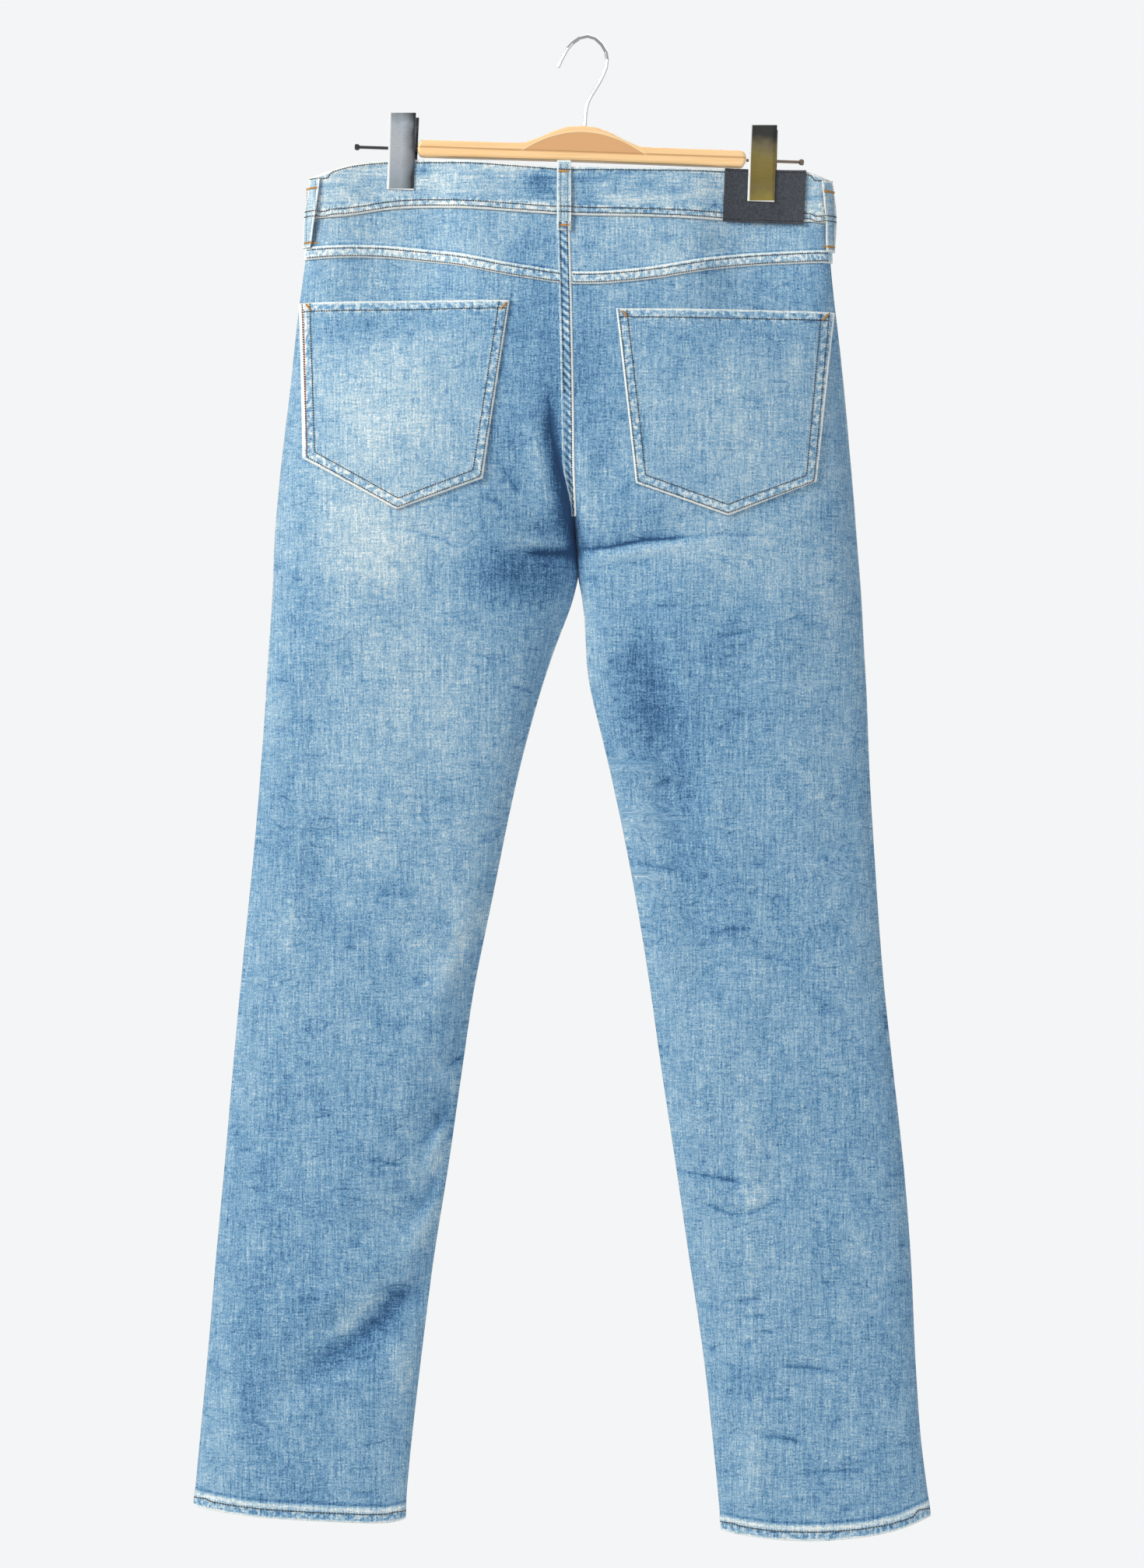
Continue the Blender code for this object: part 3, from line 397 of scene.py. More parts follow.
backCreases = [  # half width, height, then the points (x, drop)
    # thin folds from under the left pocket, and the sharp tuck beside the crotch
    (2.6, -0.6, (-168, 396), (-141, 399), (-117, 406), (-104, 412)),
    (4, -0.8, (-72, 342), (-53, 372)),
    (7, 1.2, (-72, 404), (-52, 408)),
    (5.5, 2, (-55, 409), (-31, 409), (-11, 409)),
    (4, -3.2, (-50, 416), (-28, 416), (-9, 414)),
    (4.6, -3.4, (-31, 292), (-28, 322), (-19, 362), (-11.5, 404), (-9, 430)),
    (9, 2.2, (-46, 306), (-37, 350), (-28, 392)),
    (7, 1.5, (-5, 330), (-2, 375), (2, 402)),
    (3.4, -0.7, (-94, 497), (-59, 504)),
    (2.6, -0.5, (-95, 505), (-74, 510)),
    (3, -0.8, (-62, 522), (-43, 527)),
    (2.6, 0.5, (-63, 517), (-45, 521)),
    # small ones down the left thigh and knee
    (2.8, -0.6, (-255, 517), (-240, 518)),
    (2.8, -0.6, (-253, 557), (-238, 557)),
    (4, -0.4, (-238, 548), (-205, 551)),
    (2.8, -0.7, (-223, 640), (-199, 641), (-193, 646)),
    (2.8, -0.7, (-144, 626), (-125, 626)),
    (2.4, -0.5, (-137, 640), (-126, 640)),
    (3.2, -0.4, (-172, 689), (-144, 689)),
    (3.2, -0.5, (-144, 710), (-122, 710)),
    (14, -0.9, (-218, 652), (-219, 742)),
    (11, 0.9, (-81, 697), (-81, 722)),
    (5, -0.8, (-93, 683), (-98, 692)),
    (9, 1.3, (-95, 679), (-105, 728), (-120, 778)),
    # folds that gather behind the left calf and ankle
    (5, -1.2, (-97, 817), (-112, 828)),
    (6, 1, (-101, 838), (-112, 847)),
    (8, -1.8, (-107, 855), (-134, 895)),
    (5.5, 1.2, (-115, 872), (-128, 915)),
    (7.5, -1.8, (-116, 916), (-142, 949)),
    (7, 1.3, (-115, 930), (-147, 981)),
    (11, -3.6, (-129, 1009), (-155, 1013), (-166, 1030), (-189, 1048), (-214, 1063), (-226, 1073)),
    (11, 2.2, (-165, 1006), (-191, 1035), (-211, 1051)),
    (5, 1.3, (-139, 996), (-160, 1003)),
    (12, 1.4, (-147, 1043), (-152, 1092)),
    (2.6, -0.7, (-196, 1058), (-181, 1062), (-169, 1058)),
    (2.6, -0.6, (-219, 868), (-203, 865)),
    (2.4, -0.5, (-203, 880), (-193, 878)),
    (3.2, -1.1, (-176, 901), (-150, 907)),
    (2.6, -0.6, (-193, 932), (-179, 935)),
    (2.6, -0.5, (-288, 877), (-282, 875)),
    (2.6, -0.6, (-283, 894), (-268, 894)),
    (2.4, -0.4, (-221, 983), (-216, 987)),
    (2.6, -0.6, (-305, 1065), (-295, 1065)),
    (2.6, -0.5, (-305, 1072), (-293, 1070)),
    (3, -0.6, (-231, 1169), (-217, 1166)),
    (3, -0.6, (-189, 1168), (-170, 1169)),
    # the V-shaped drag under the seat of the right leg
    (4.6, -2.6, (-8, 413), (18, 411), (45, 406), (64, 405), (88, 403)),
    (5.5, 1.5, (-4, 419), (22, 417), (47, 413), (88, 409)),
    (4, -0.6, (88, 403), (138, 402)),
    (3, -0.7, (-3, 436), (11, 438)),
    (3, -0.7, (53, 458), (78, 458)),
    (2.8, -0.8, (103, 483), (134, 478)),
    (2.6, -0.6, (107, 492), (129, 489)),
    (2.4, -0.5, (107, 499), (127, 497)),
    (2.8, -0.6, (208, 464), (222, 465)),
    # long soft hollows down the right thigh
    (19, -1.1, (18, 476), (47, 534), (80, 599)),
    (16, -0.8, (38, 446), (66, 596), (91, 753)),
    (12, -0.7, (87, 571), (87, 697)),
    (4, 0.6, (69, 483), (77, 521), (85, 561)),
    (5, 0.6, (100, 571), (100, 646)),
    (6, 0.7, (136, 690), (148, 725)),
    (7, 0.9, (-4, 430), (2, 483), (11, 546)),
    (3.2, -1.1, (36, 663), (73, 671)),
    (2.6, -0.6, (130, 666), (144, 664)),
    (2.6, -0.6, (181, 662), (196, 660)),
    (3.2, -0.9, (98, 723), (112, 717), (130, 716)),
    (2.4, -0.5, (129, 688), (138, 689)),
    (8, 0.8, (134, 740), (136, 763)),
    (6, 0.7, (221, 629), (221, 667)),
    # folds that gather behind the right calf and ankle
    (3.4, -1.2, (73, 912), (103, 916), (132, 922)),
    (3.4, -1, (87, 939), (98, 939), (115, 946), (134, 944), (156, 932)),
    (10, 1.3, (124, 855), (130, 910), (137, 959)),
    (2.6, -0.5, (87, 905), (98, 903)),
    (2.6, -0.5, (198, 930), (203, 935)),
    (2.8, -0.7, (241, 915), (255, 915)),
    (2.6, -0.6, (238, 923), (254, 923)),
    (2.6, -0.7, (240, 932), (254, 932)),
    (2.8, -0.7, (245, 1001), (260, 1001)),
    (2.8, -0.7, (248, 1010), (261, 1010)),
    (3.2, -1, (118, 1017), (138, 1012)),
    (3.2, -1, (123, 1028), (144, 1026)),
    (2.8, -0.7, (138, 1038), (151, 1040)),
    (2.8, -0.7, (125, 1050), (138, 1046)),
    (2.4, -0.5, (97, 1054), (104, 1055)),
    (3.4, -1.4, (155, 1067), (179, 1068), (200, 1072)),
    (2.6, -0.6, (132, 1075), (142, 1077)),
    (2.6, -0.6, (149, 1093), (159, 1093)),
    (3.4, -1.4, (135, 1123), (154, 1124), (172, 1127)),
    (3.2, -0.9, (167, 1152), (182, 1151), (224, 1149)),
    (2.6, -0.5, (200, 1145), (213, 1145)),
    (2.6, -0.6, (105, 1151), (116, 1152)),
    (3, -0.6, (237, 1130), (266, 1131)),
    (2.6, -0.5, (209, 1178), (223, 1177)),
    (2.6, -0.5, (202, 1182), (215, 1182)),
    (9, 1, (133, 1110), (134, 1181)),
    # the pale line of an old press fold down the right leg: a low ridge, its paleness a painted highlight on the
    # ridge
    (1.5, 1.0, (118, 840), (126, 905), (130, 985), (134, 1060), (132, 1130)),
    (1.5, 0.8, (58, 560), (78, 640), (86, 700)),
    (1.5, 0.7, (-226, 560), (-236, 700), (-247, 800)),
]
frontCreases = [
    # out of sight: whiskers at the hips, knees that bend, gathers over the feet
    (6, -1.0, (-196, 326), (-122, 350), (-64, 376)),
    (7, 0.9, (-205, 343), (-130, 366), (-72, 394)),
    (4, -0.7, (-190, 383), (-136, 394), (-92, 402)),
    (3, -0.5, (-166, 428), (-118, 430)),
    (3, -0.4, (-188, 301), (-152, 310)),
    (6, -0.9, (174, 322), (112, 348), (44, 384)),
    (7, 0.9, (150, 362), (96, 380), (40, 408)),
    (4, -0.6, (136, 400), (98, 408)),
    (3, -0.4, (164, 446), (128, 442)),
    (14, -0.9, (-160, 480), (-170, 620), (-190, 700)),
    (15, -0.8, (104, 500), (122, 590), (150, 700)),
    (4, -0.7, (-232, 745), (-196, 751), (-168, 746)),
    (3, -0.5, (-226, 771), (-202, 774)),
    (10, 1.1, (-200, 720), (-205, 800)),
    (4, -0.6, (128, 776), (160, 781), (186, 777)),
    (3, -0.4, (176, 742), (198, 739)),
    (11, 1.0, (152, 716), (162, 790)),
    (5, -0.9, (-270, 1036), (-234, 1049), (-196, 1044)),
    (6, 1.0, (-268, 1054), (-226, 1064), (-192, 1059)),
    (3.4, -0.7, (-252, 1098), (-220, 1101)),
    (3, -0.5, (-222, 1133), (-198, 1129)),
    (3, -0.5, (-288, 1152), (-266, 1155)),
    (5, -0.9, (140, 1018), (176, 1030), (210, 1024)),
    (6, 0.9, (146, 1036), (182, 1046), (214, 1041)),
    (3.4, -0.6, (172, 1082), (206, 1087)),
    (3, -0.5, (226, 1118), (246, 1115)),
    (3, -0.5, (146, 1149), (170, 1144)),
]
creases = {backSheet: backCreases, frontSheet: frontCreases}
narrowCrease = 6  # mm of half width, under which a trough has a painted dark core of shade and gets a finer mesh


def nearRun(x, drop, a, b):
    # the nearest place on a straight run from a to b: its share of the run, and how far away it is
    t = np.clip(((x - a[0]) * (b[0] - a[0]) + (drop - a[1]) * (b[1] - a[1])) / math.dist(a, b)**2, 0, 1)
    return t, np.hypot(x - a[0] - t * (b[0] - a[0]), drop - a[1] - t * (b[1] - a[1]))


def creaseHeight(x, drop, sheet):
    # the height in mm that the creases of one sheet give at each point, and the painted shade of their dark cores
    height = np.zeros_like(x)
    shade = np.zeros_like(x)
    for width, depth, *points in creases[sheet]:
        near = np.full_like(x, 1e9)
        share = np.zeros_like(x)
        total = sum(math.dist(a, b) for a, b in zip(points, points[1:]))
        walked = 0.0
        for a, b in zip(points, points[1:]):
            run = math.dist(a, b)
            t, away = nearRun(x, drop, a, b)
            closer = away < near
            near = np.where(closer, away, near)
            share = np.where(closer, (walked + t * run) / total, share)
            walked += run
        taper = ease(-0.12, 0.28, share) * ease(-0.12, 0.28, 1 - share)
        height += depth * np.exp(-(near / width) ** (1.3 if depth < 0 else 2)) * taper
        # painted shade: a dark core along each narrow trough
        if depth < 0 and width < narrowCrease:
            shade -= min(0.13 * abs(depth) + 0.03, 0.4) * np.exp(-(near / (0.7 + 0.1 * width)) ** 2) * taper
    return height, shade


def lattice(x, drop, acrossSize, downSize, seed):
    # smooth noise between -1 and 1 with lumps of the given sizes in mm
    values = np.random.default_rng(seed).uniform(-1, 1, (97, 401))
    u = x / acrossSize + 41
    v = drop / downSize + 7
    i = np.floor(u).astype(int)
    j = np.floor(v).astype(int)
    s = u - i
    t = v - j
    s = s * s * (3 - 2 * s)
    t = t * t * (3 - 2 * t)
    i0, i1, j0, j1 = i % 97, (i + 1) % 97, j % 401, (j + 1) % 401
    low = values[i0, j0] * (1 - s) + values[i1, j0] * s
    high = values[i0, j1] * (1 - s) + values[i1, j1] * s
    return low * (1 - t) + high * t


# under 0: painted shade in the seat's groove and at the crotch, beside the centre seam and the centre loop, on the
# yoke near the middle, in the right thigh's hollow and along the left leg's side; the rest, along the waistband,
# across the pockets' upper part and down the lower legs, is only darker
fadesAndPaintedShade = [  # on the back: x, drop, reach across, reach down, amount: washed paler over 0; darker under 0, mostly painted shade
    (-160, 300, 62, 70, 0.2),
    (105, 325, 60, 60, 0.06),
    (-176, 406, 64, 38, 0.22),
    (-150, 520, 80, 90, 0.1),
    (96, 415, 56, 30, 0.12),
    (60, 515, 58, 100, -0.09),
    (120, 680, 60, 120, -0.05),
    (190, 950, 60, 160, -0.04),
    (-240, 1000, 80, 150, -0.05),
    (-42, 300, 30, 90, -0.13),
    (-30, 250, 9, 110, -0.1),
    (-4, 250, 8, 110, -0.08),
    (10, 300, 20, 80, -0.05),
    (-150, 234, 75, 14, -0.14),
    (110, 243, 75, 14, -0.12),
    (-48, 178, 24, 18, -0.12),
    (20, 176, 30, 16, -0.06),
    (-38, 122, 12, 12, -0.26),
    (0, 122, 13, 13, -0.22),
    (60, 122, 30, 8, -0.1),
    (-110, 124, 26, 7, -0.14),
    (-130, 108, 60, 5, -0.12),
    (-62, 104, 20, 7, 0.14),
    (40, 108, 40, 6, -0.08),
    (-54, 432, 34, 26, -0.26),
    (-26, 388, 17, 40, -0.14),
    (-31, 322, 6, 26, -0.13),
    (-25, 350, 6, 20, -0.24),
    (-19, 376, 6.5, 18, -0.34),
    (-12, 404, 7, 18, -0.36),
    (-6, 425, 10, 22, -0.12),
    (30, 470, 40, 40, 0.05),
    (-228, 480, 14, 110, -0.12),
    (-268, 1060, 14, 90, -0.1),
]


def toneOf(x, drop, sheet):
    tone = 0.5 + 0.04 * lattice(x, drop, 60, 90, 11) + 0.035 * lattice(x, drop, 24, 36, 12)
    if sheet == backSheet:
        # washed fades, and painted shade where the amount is under 0
        for atX, atDrop, across, down, amount in fadesAndPaintedShade:
            tone = tone + amount * np.exp(-((x - atX) / across) ** 2 - ((drop - atDrop) / down) ** 2)
    return tone


# ---- the garment's outline, row by row, from its solids

rowHeight = 8.0  # mm
crotchDrop = 415.0


def pointsOf(mesh):
    flat = np.zeros(len(mesh.vertices) * 3, np.float32)
    mesh.vertices.foreach_get("co", flat)
    return flat.reshape(-1, 3).astype(float)


def movePoints(mesh, place):
    mesh.vertices.foreach_set("co", place.astype(np.float32).ravel())
    mesh.update()


def setCut(mesh, cut):
    # where each point lies on the flat cloth, in metres: the weave is drawn on this UV map
    for layer in list(mesh.uv_layers):
        mesh.uv_layers.remove(layer)
    corners = np.zeros(len(mesh.loops), int)
    mesh.loops.foreach_get("vertex_index", corners)
    layer = mesh.uv_layers.new(name="cloth")
    layer.data.foreach_set("uv", cut[corners].astype(np.float32).ravel())


def rowEdges(names):
    # the least and greatest x of some nodes at every row of drop
    points = np.concatenate([pointsOf(frame["nodes"][name].data) for name in names]) / mm
    rows = np.arange(90, 1215, rowHeight)
    low, high = [], []
    for row in rows:
        near = points[abs(points[:, 2] + row) < 14]
        low.append(near[:, 0].min() if len(near) else np.nan)
        high.append(near[:, 0].max() if len(near) else np.nan)
    known = ~np.isnan(low)
    return rows[known], np.array(low)[known], np.array(high)[known]


leftRows = rowEdges(["leg_back_left", "leg_front_left", "yoke_left", "waistband"])
rightRows = rowEdges(["leg_back_right", "leg_front_right", "yoke_right", "waistband"])


def fromSides(x, drop):
    # mm from each point to the two sides of its leg, on its left and its right; over the crotch the inner
    # sides move away
    above = np.maximum(crotchDrop - drop, 0) * 0.8
    leftLow, leftHigh = (np.interp(drop, leftRows[0], leftRows[i]) for i in (1, 2))
    rightLow, rightHigh = (np.interp(drop, rightRows[0], rightRows[i]) for i in (1, 2))
    onLeft = x < (leftHigh + rightLow) / 2
    toLeft = np.where(onLeft, x - leftLow, x - rightLow + above)
    toRight = np.where(onLeft, leftHigh - x + above, rightHigh - x)
    return toLeft, toRight


def relief(x, drop, sheet):
    # height in mm of one sheet's creases and of the cloth's uneven hang, flat at the sides and the waistband; and
    # the painted shade of the creases, darker in troughs and paler on ridges, with their dark cores
    drape = 1.1 * lattice(x, drop, 70, 120, 1) + 0.45 * lattice(x, drop, 26, 34, 2)
    drape = drape + 0.22 * lattice(x, drop, 16, 9, 3)
    creased, shade = creaseHeight(x, drop, sheet)
    calm = ease(150, 230, drop) * ease(0, 15, np.minimum(*fromSides(x, drop)))
    # the second value is painted shade and highlight, added to the tone
    return calm * (drape + creased), 0.1 * np.clip(creased, -3, 2.5) + shade


# ---- cloth pieces

def shellOf(node, name, level, tall=False):
    # a finer shell on a solid's form: its merged copy in quads, smoothed between creased rims
    mesh = frame["nodes"][node].data.copy()
    mesh.name = name
    mesh.materials.clear()
    obj = addObject(name, mesh)
    makeActive(obj)
    bpy.ops.object.mode_set(mode="EDIT")
    bpy.ops.mesh.select_all(action="SELECT")
    bpy.ops.mesh.customdata_custom_splitnormals_clear()
    bpy.ops.mesh.remove_doubles(threshold=0.000001)
    bpy.ops.mesh.tris_convert_to_quads(face_threshold=math.radians(60), shape_threshold=math.radians(80))
    bpy.ops.mesh.select_all(action="DESELECT")
    bpy.ops.mesh.select_mode(type="EDGE")
    bpy.ops.mesh.edges_select_sharp(sharpness=math.radians(20 if node.startswith("pocket_back") else 52))
    bpy.ops.transform.edge_crease(value=1.0)
    bpy.ops.object.mode_set(mode="OBJECT")
    finer = obj.modifiers.new("smooth", "SUBSURF")
    finer.levels = level
    bpy.ops.object.modifier_apply(modifier=finer.name)
    mesh = obj.data
    if tall:  # its faces are taller than wide, so they are halved once more
        place = pointsOf(mesh)
        ends = edgeEnds(mesh)
        run = place[ends[:, 1]] - place[ends[:, 0]]
        subdivide(mesh, abs(run[:, 2]) > 0.72 * np.linalg.norm(run, axis=1))
        for reach in (2.0, 0.8):  # and again, twice, on the outside beside the narrow creases
            place = pointsOf(mesh)
            ends = edgeEnds(mesh)
            sheet = backSheet if "back" in name else frontSheet
            narrow = np.zeros(len(place))
            for width, depth, *points in creases[sheet]:
                if width < narrowCrease:
                    narrow += nearLine(place / mm, points) < reach * width
            outside = (pointNormals(mesh)[:, 1] * sheet > 0.2) & (narrow > 0)
            subdivide(mesh, outside[ends[:, 0]] & outside[ends[:, 1]])
    return obj


def nearLine(place, points):
    # how far, in mm, each point is from a bent line of (x, drop) points
    near = np.full(len(place), 1e9)
    for a, b in zip(points, points[1:]):
        near = np.minimum(near, nearRun(place[:, 0], -place[:, 2], a, b)[1])
    return near


def edgeEnds(mesh):
    ends = np.zeros(len(mesh.edges) * 2, int)
    mesh.edges.foreach_get("vertices", ends)
    return ends.reshape(-1, 2)


def pointNormals(mesh):
    flat = np.zeros(len(mesh.vertices) * 3, np.float32)
    mesh.vertex_normals.foreach_get("vector", flat)
    return flat.reshape(-1, 3)


def subdivide(mesh, chosen):
    mesh.vertices.foreach_set("select", np.zeros(len(mesh.vertices), bool))
    mesh.polygons.foreach_set("select", np.zeros(len(mesh.polygons), bool))
    mesh.edges.foreach_set("select", chosen)
    bpy.ops.object.mode_set(mode="EDIT")
    bpy.ops.mesh.subdivide(number_cuts=1, smoothness=0.0)
    bpy.ops.object.mode_set(mode="OBJECT")


def rimPoints(mesh):
    # points every 1.5 mm or so along the piece's creased rims, and which of them lie on a level rim
    creased = mesh.attributes["crease_edge"]
    values = np.zeros(len(mesh.edges), np.float32)
    creased.data.foreach_get("value", values)
    ends = edgeEnds(mesh)[values > 0.5]
    place = pointsOf(mesh)
    run = place[ends[:, 1]] - place[ends[:, 0]]
    level = abs(run[:, 2]) < 0.6 * np.linalg.norm(run, axis=1)
    points = np.concatenate([place[ends[:, 0]] * (1 - t) + place[ends[:, 1]] * t for t in (0, 0.5)])
    return points, np.concatenate([level, level])


def distances(place, targets):
    tree = KDTree(len(targets))
    for i, point in enumerate(targets):
        tree.insert(point, i)
    tree.balance()
    return np.array([tree.find(point)[2] for point in place]) / mm


def setAttribute(mesh, name, values):
    attribute = mesh.attributes.get(name) or mesh.attributes.new(name, "FLOAT", "POINT")
    attribute.data.foreach_set("value", values.astype(np.float32))


def unroll(place):
    # x opened out near the sides, so that the weave isn't drawn out where the cloth turns
    x, y, z = (place / mm).T
    toLeft, toRight = fromSides(x, -z)
    turned = np.maximum(16 - abs(y), 0)
    u = x + turned * ((1 - ease(10, 26, toRight)) - (1 - ease(10, 26, toLeft)))
    return np.stack([u, z], axis=1) * mm


rimDrops = {"hem": 1120, "mouth": 250, "lap": 166}  # mm: a hem and a lap are below theirs, a mouth above
# mm: the white strip down the left pocket's outer side
pocketStrip = {"x": -231.5, "from": 4.5, "to": 6.5, "end": 335, "gone": 345}
waistMiddle = ((-219, -160, -24, 110, 191), (127.9, 117.9, 123.8, 126.7, 132.6))  # x, drop
hemBands = {"white": 10.0, "whiteReach": 2.4, "blue": 14.2, "blueReach": 1.2}  # mm over the hem's edge

clothKinds = {  # by the start of a node's name: smoothing level, seam's width in mm, tone added
    "leg": (2, 7.5, 0.0),
    "yoke": (3, 9.5, 0.07),
    "waistband": (3, 9.0, 0.13),
    "pocket_back": (3, 9.5, 0.03),
    "pocket_facing": (2, 0.0, 0.0),
    "loop": (3, 0.0, 0.2),
    "fly": (3, 8.5, 0.0),
}
legDenim = denim("stone washed denim")
loopDenim = denim("stone washed denim of the loops", 1.3)
dressed = {}
extras = []


def dressCloth(node):
    kind = next(kind for kind in clothKinds if node.startswith(kind))
    smoothing, seamWidth, lift = clothKinds[kind]
    piece = shellOf(node, node + "_cloth", smoothing, kind == "leg")
    mesh = piece.data
    place = pointsOf(mesh)
    x, drop = place[:, 0] / mm, -place[:, 2] / mm
    rim, level = rimPoints(mesh)
    edge = distances(place, rim)
    if "front" in node or kind in ("pocket_facing", "fly"):
        sheets = np.full(len(place), frontSheet)
    elif "back" in node or kind == "yoke":
        sheets = np.full(len(place), backSheet)
    else:
        sheets = np.where(place[:, 1] > 0, frontSheet, backSheet)
    # seams drawn up between their rows of stitches
    rimDrop = -rim[:, 2] / mm
    if kind == "leg":
        hem = (rimDrop > rimDrops["hem"]) & level
        mouth = (rimDrop < rimDrops["mouth"]) & ("front" in node)
        # the side seams are pressed flat, with no white edge
        seamEdge = edge = distances(place, rim[hem | mouth])
    elif kind == "yoke":
        seamEdge = distances(place, rim[(rimDrop > rimDrops["lap"]) & level])
        setAttribute(mesh, "lap", seamEdge)
        edge = np.maximum(edge, 1.4)
    else:
        seamEdge = edge
    seam = 1 - ease(seamWidth - 1, seamWidth + 0.6, seamEdge) if seamWidth else np.zeros(len(place))
    if kind == "waistband":
        middle = np.interp(x, *waistMiddle)
        seam = np.where(drop < middle, 1 - ease(3.5, 5, seamEdge), seam)
    setAttribute(mesh, "edge", edge)
    setAttribute(mesh, "seam", seam)
    height, tone = np.zeros(len(place)), np.zeros(len(place))
    for sheet in (backSheet, frontSheet):
        on = sheets == sheet
        if on.any():
            # the cloth's tone plus the painted shade of its creases: darker in troughs, paler on ridges
            height[on], paintedCreaseShade = relief(x[on], drop[on], sheet)
            tone[on] = toneOf(x[on], drop[on], sheet) + paintedCreaseShade
    inner = pointNormals(mesh)[:, 1] * sheets < -0.3
    if kind == "yoke":  # the lap stands up along its upper edge and lies flat along its lower one
        height = height + 0.7 * ease(0, 2.5, seamEdge) * (1 - ease(9.4, 11, seamEdge))
        height = height - 0.5 * (1 - ease(0, 2.5, seamEdge)) * ~inner
    tone = tone + lift + 0.28 * inner
    if kind == "yoke":
        tone = tone + 0.1 * seam
    if kind == "waistband":  # streaks along the cut, and a washed top edge
        tone = tone + 0.03 + 0.17 * lattice(x, drop, 34, 5, 21) + 0.1 * lattice(x, drop, 11, 3, 22)
    if node == "pocket_back_left":  # a white strip along its outer side
        strip = 1 - ease(pocketStrip["from"], pocketStrip["to"], x - pocketStrip["x"])
        tone = tone + 0.45 * strip * (1 - ease(pocketStrip["end"], pocketStrip["gone"], drop))
    if kind == "leg":
        fromHem = distances(place, rim[hem])
        tone = tone + 0.4 * np.exp(-((fromHem - hemBands["white"]) / hemBands["whiteReach"]) ** 2)
        tone = tone - 0.22 * np.exp(-((fromHem - hemBands["blue"]) / hemBands["blueReach"]) ** 2)
    setAttribute(mesh, "tone", tone)
    cut = unroll(place)
    if kind == "waistband":  # cut along the cloth, so its warp runs round the waist
        cut = cut[:, ::-1] * (1, -1)
    setCut(mesh, cut)
    place[:, 1] += height * sheets * mm
    if node.startswith("loop_front"):  # their tops stay hidden behind the back of the waistband
        top = place[:, 2].max() / mm
        place[:, 2] -= 4.5 * mm * ease(top - 16, top - 2, place[:, 2] / mm)
    movePoints(mesh, place)
    mesh.materials.append(loopDenim if kind == "loop" else legDenim)
    mesh.shade_smooth()
    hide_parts(node)
    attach(piece, "root")
    dressed[node] = (piece, rim)
    print("  ", piece.name, sum(len(face.vertices) - 2 for face in mesh.polygons), "triangles")


crotch = {
    "start": 372,  # mm of drop where the pull begins,
    "full": 425,   # where it begins to fade,
    "end": 447,    # and where it ends
    "reach": 26,   # mm that it reaches into each leg
    "gap": -0.6,   # mm left between each leg and their middle: under 0, the legs overlap
}


def closeCrotch():
    # the inner sides of the two legs press together down to where they part
    for name in ("back", "front"):
        drops = np.arange(crotch["start"] - 10, crotch["end"] + 10, 3)
        inner = {}
        for side, pick in (("left", np.max), ("right", np.min)):
            rim = dressed[f"leg_{name}_{side}"][1] / mm
            near = [rim[abs(-rim[:, 2] - drop) < 2.6] for drop in drops]
            inner[side] = np.array([pick(points[:, 0]) if len(points) else np.nan for points in near])
        known = ~(np.isnan(inner["left"]) | np.isnan(inner["right"]))
        for side, way in (("left", 1), ("right", -1)):
            mesh = dressed[f"leg_{name}_{side}"][0].data
            place = pointsOf(mesh)
            drop = -place[:, 2] / mm
            edge = np.interp(drop, drops[known], inner[side][known])
            half = np.interp(drop, drops[known], (inner["right"] - inner["left"])[known]) / 2
            shift = np.maximum(half - crotch["gap"], 0) * (half > -3)
            shift = shift * ease(crotch["start"], crotch["start"] + 12, drop)
            shift = shift * (1 - ease(crotch["full"], crotch["end"], drop))
            away = abs(place[:, 0] / mm - edge)
            place[:, 0] += way * shift * (1 - ease(0, crotch["reach"], away)) * mm
            movePoints(mesh, place)


# ---- the centre back seam, felled: a raised strip whose stitching has drawn it into slanting ropes

felled = {"width": 10.6, "lift": 0.8, "rope": 6.6, "thickness": 0.9, "columns": 14, "rows": 190}
felledLine = [(-19.4, 150), (-17.6, 220), (-16.2, 290), (-15.4, 350), (-14.0, 386)]  # x, drop


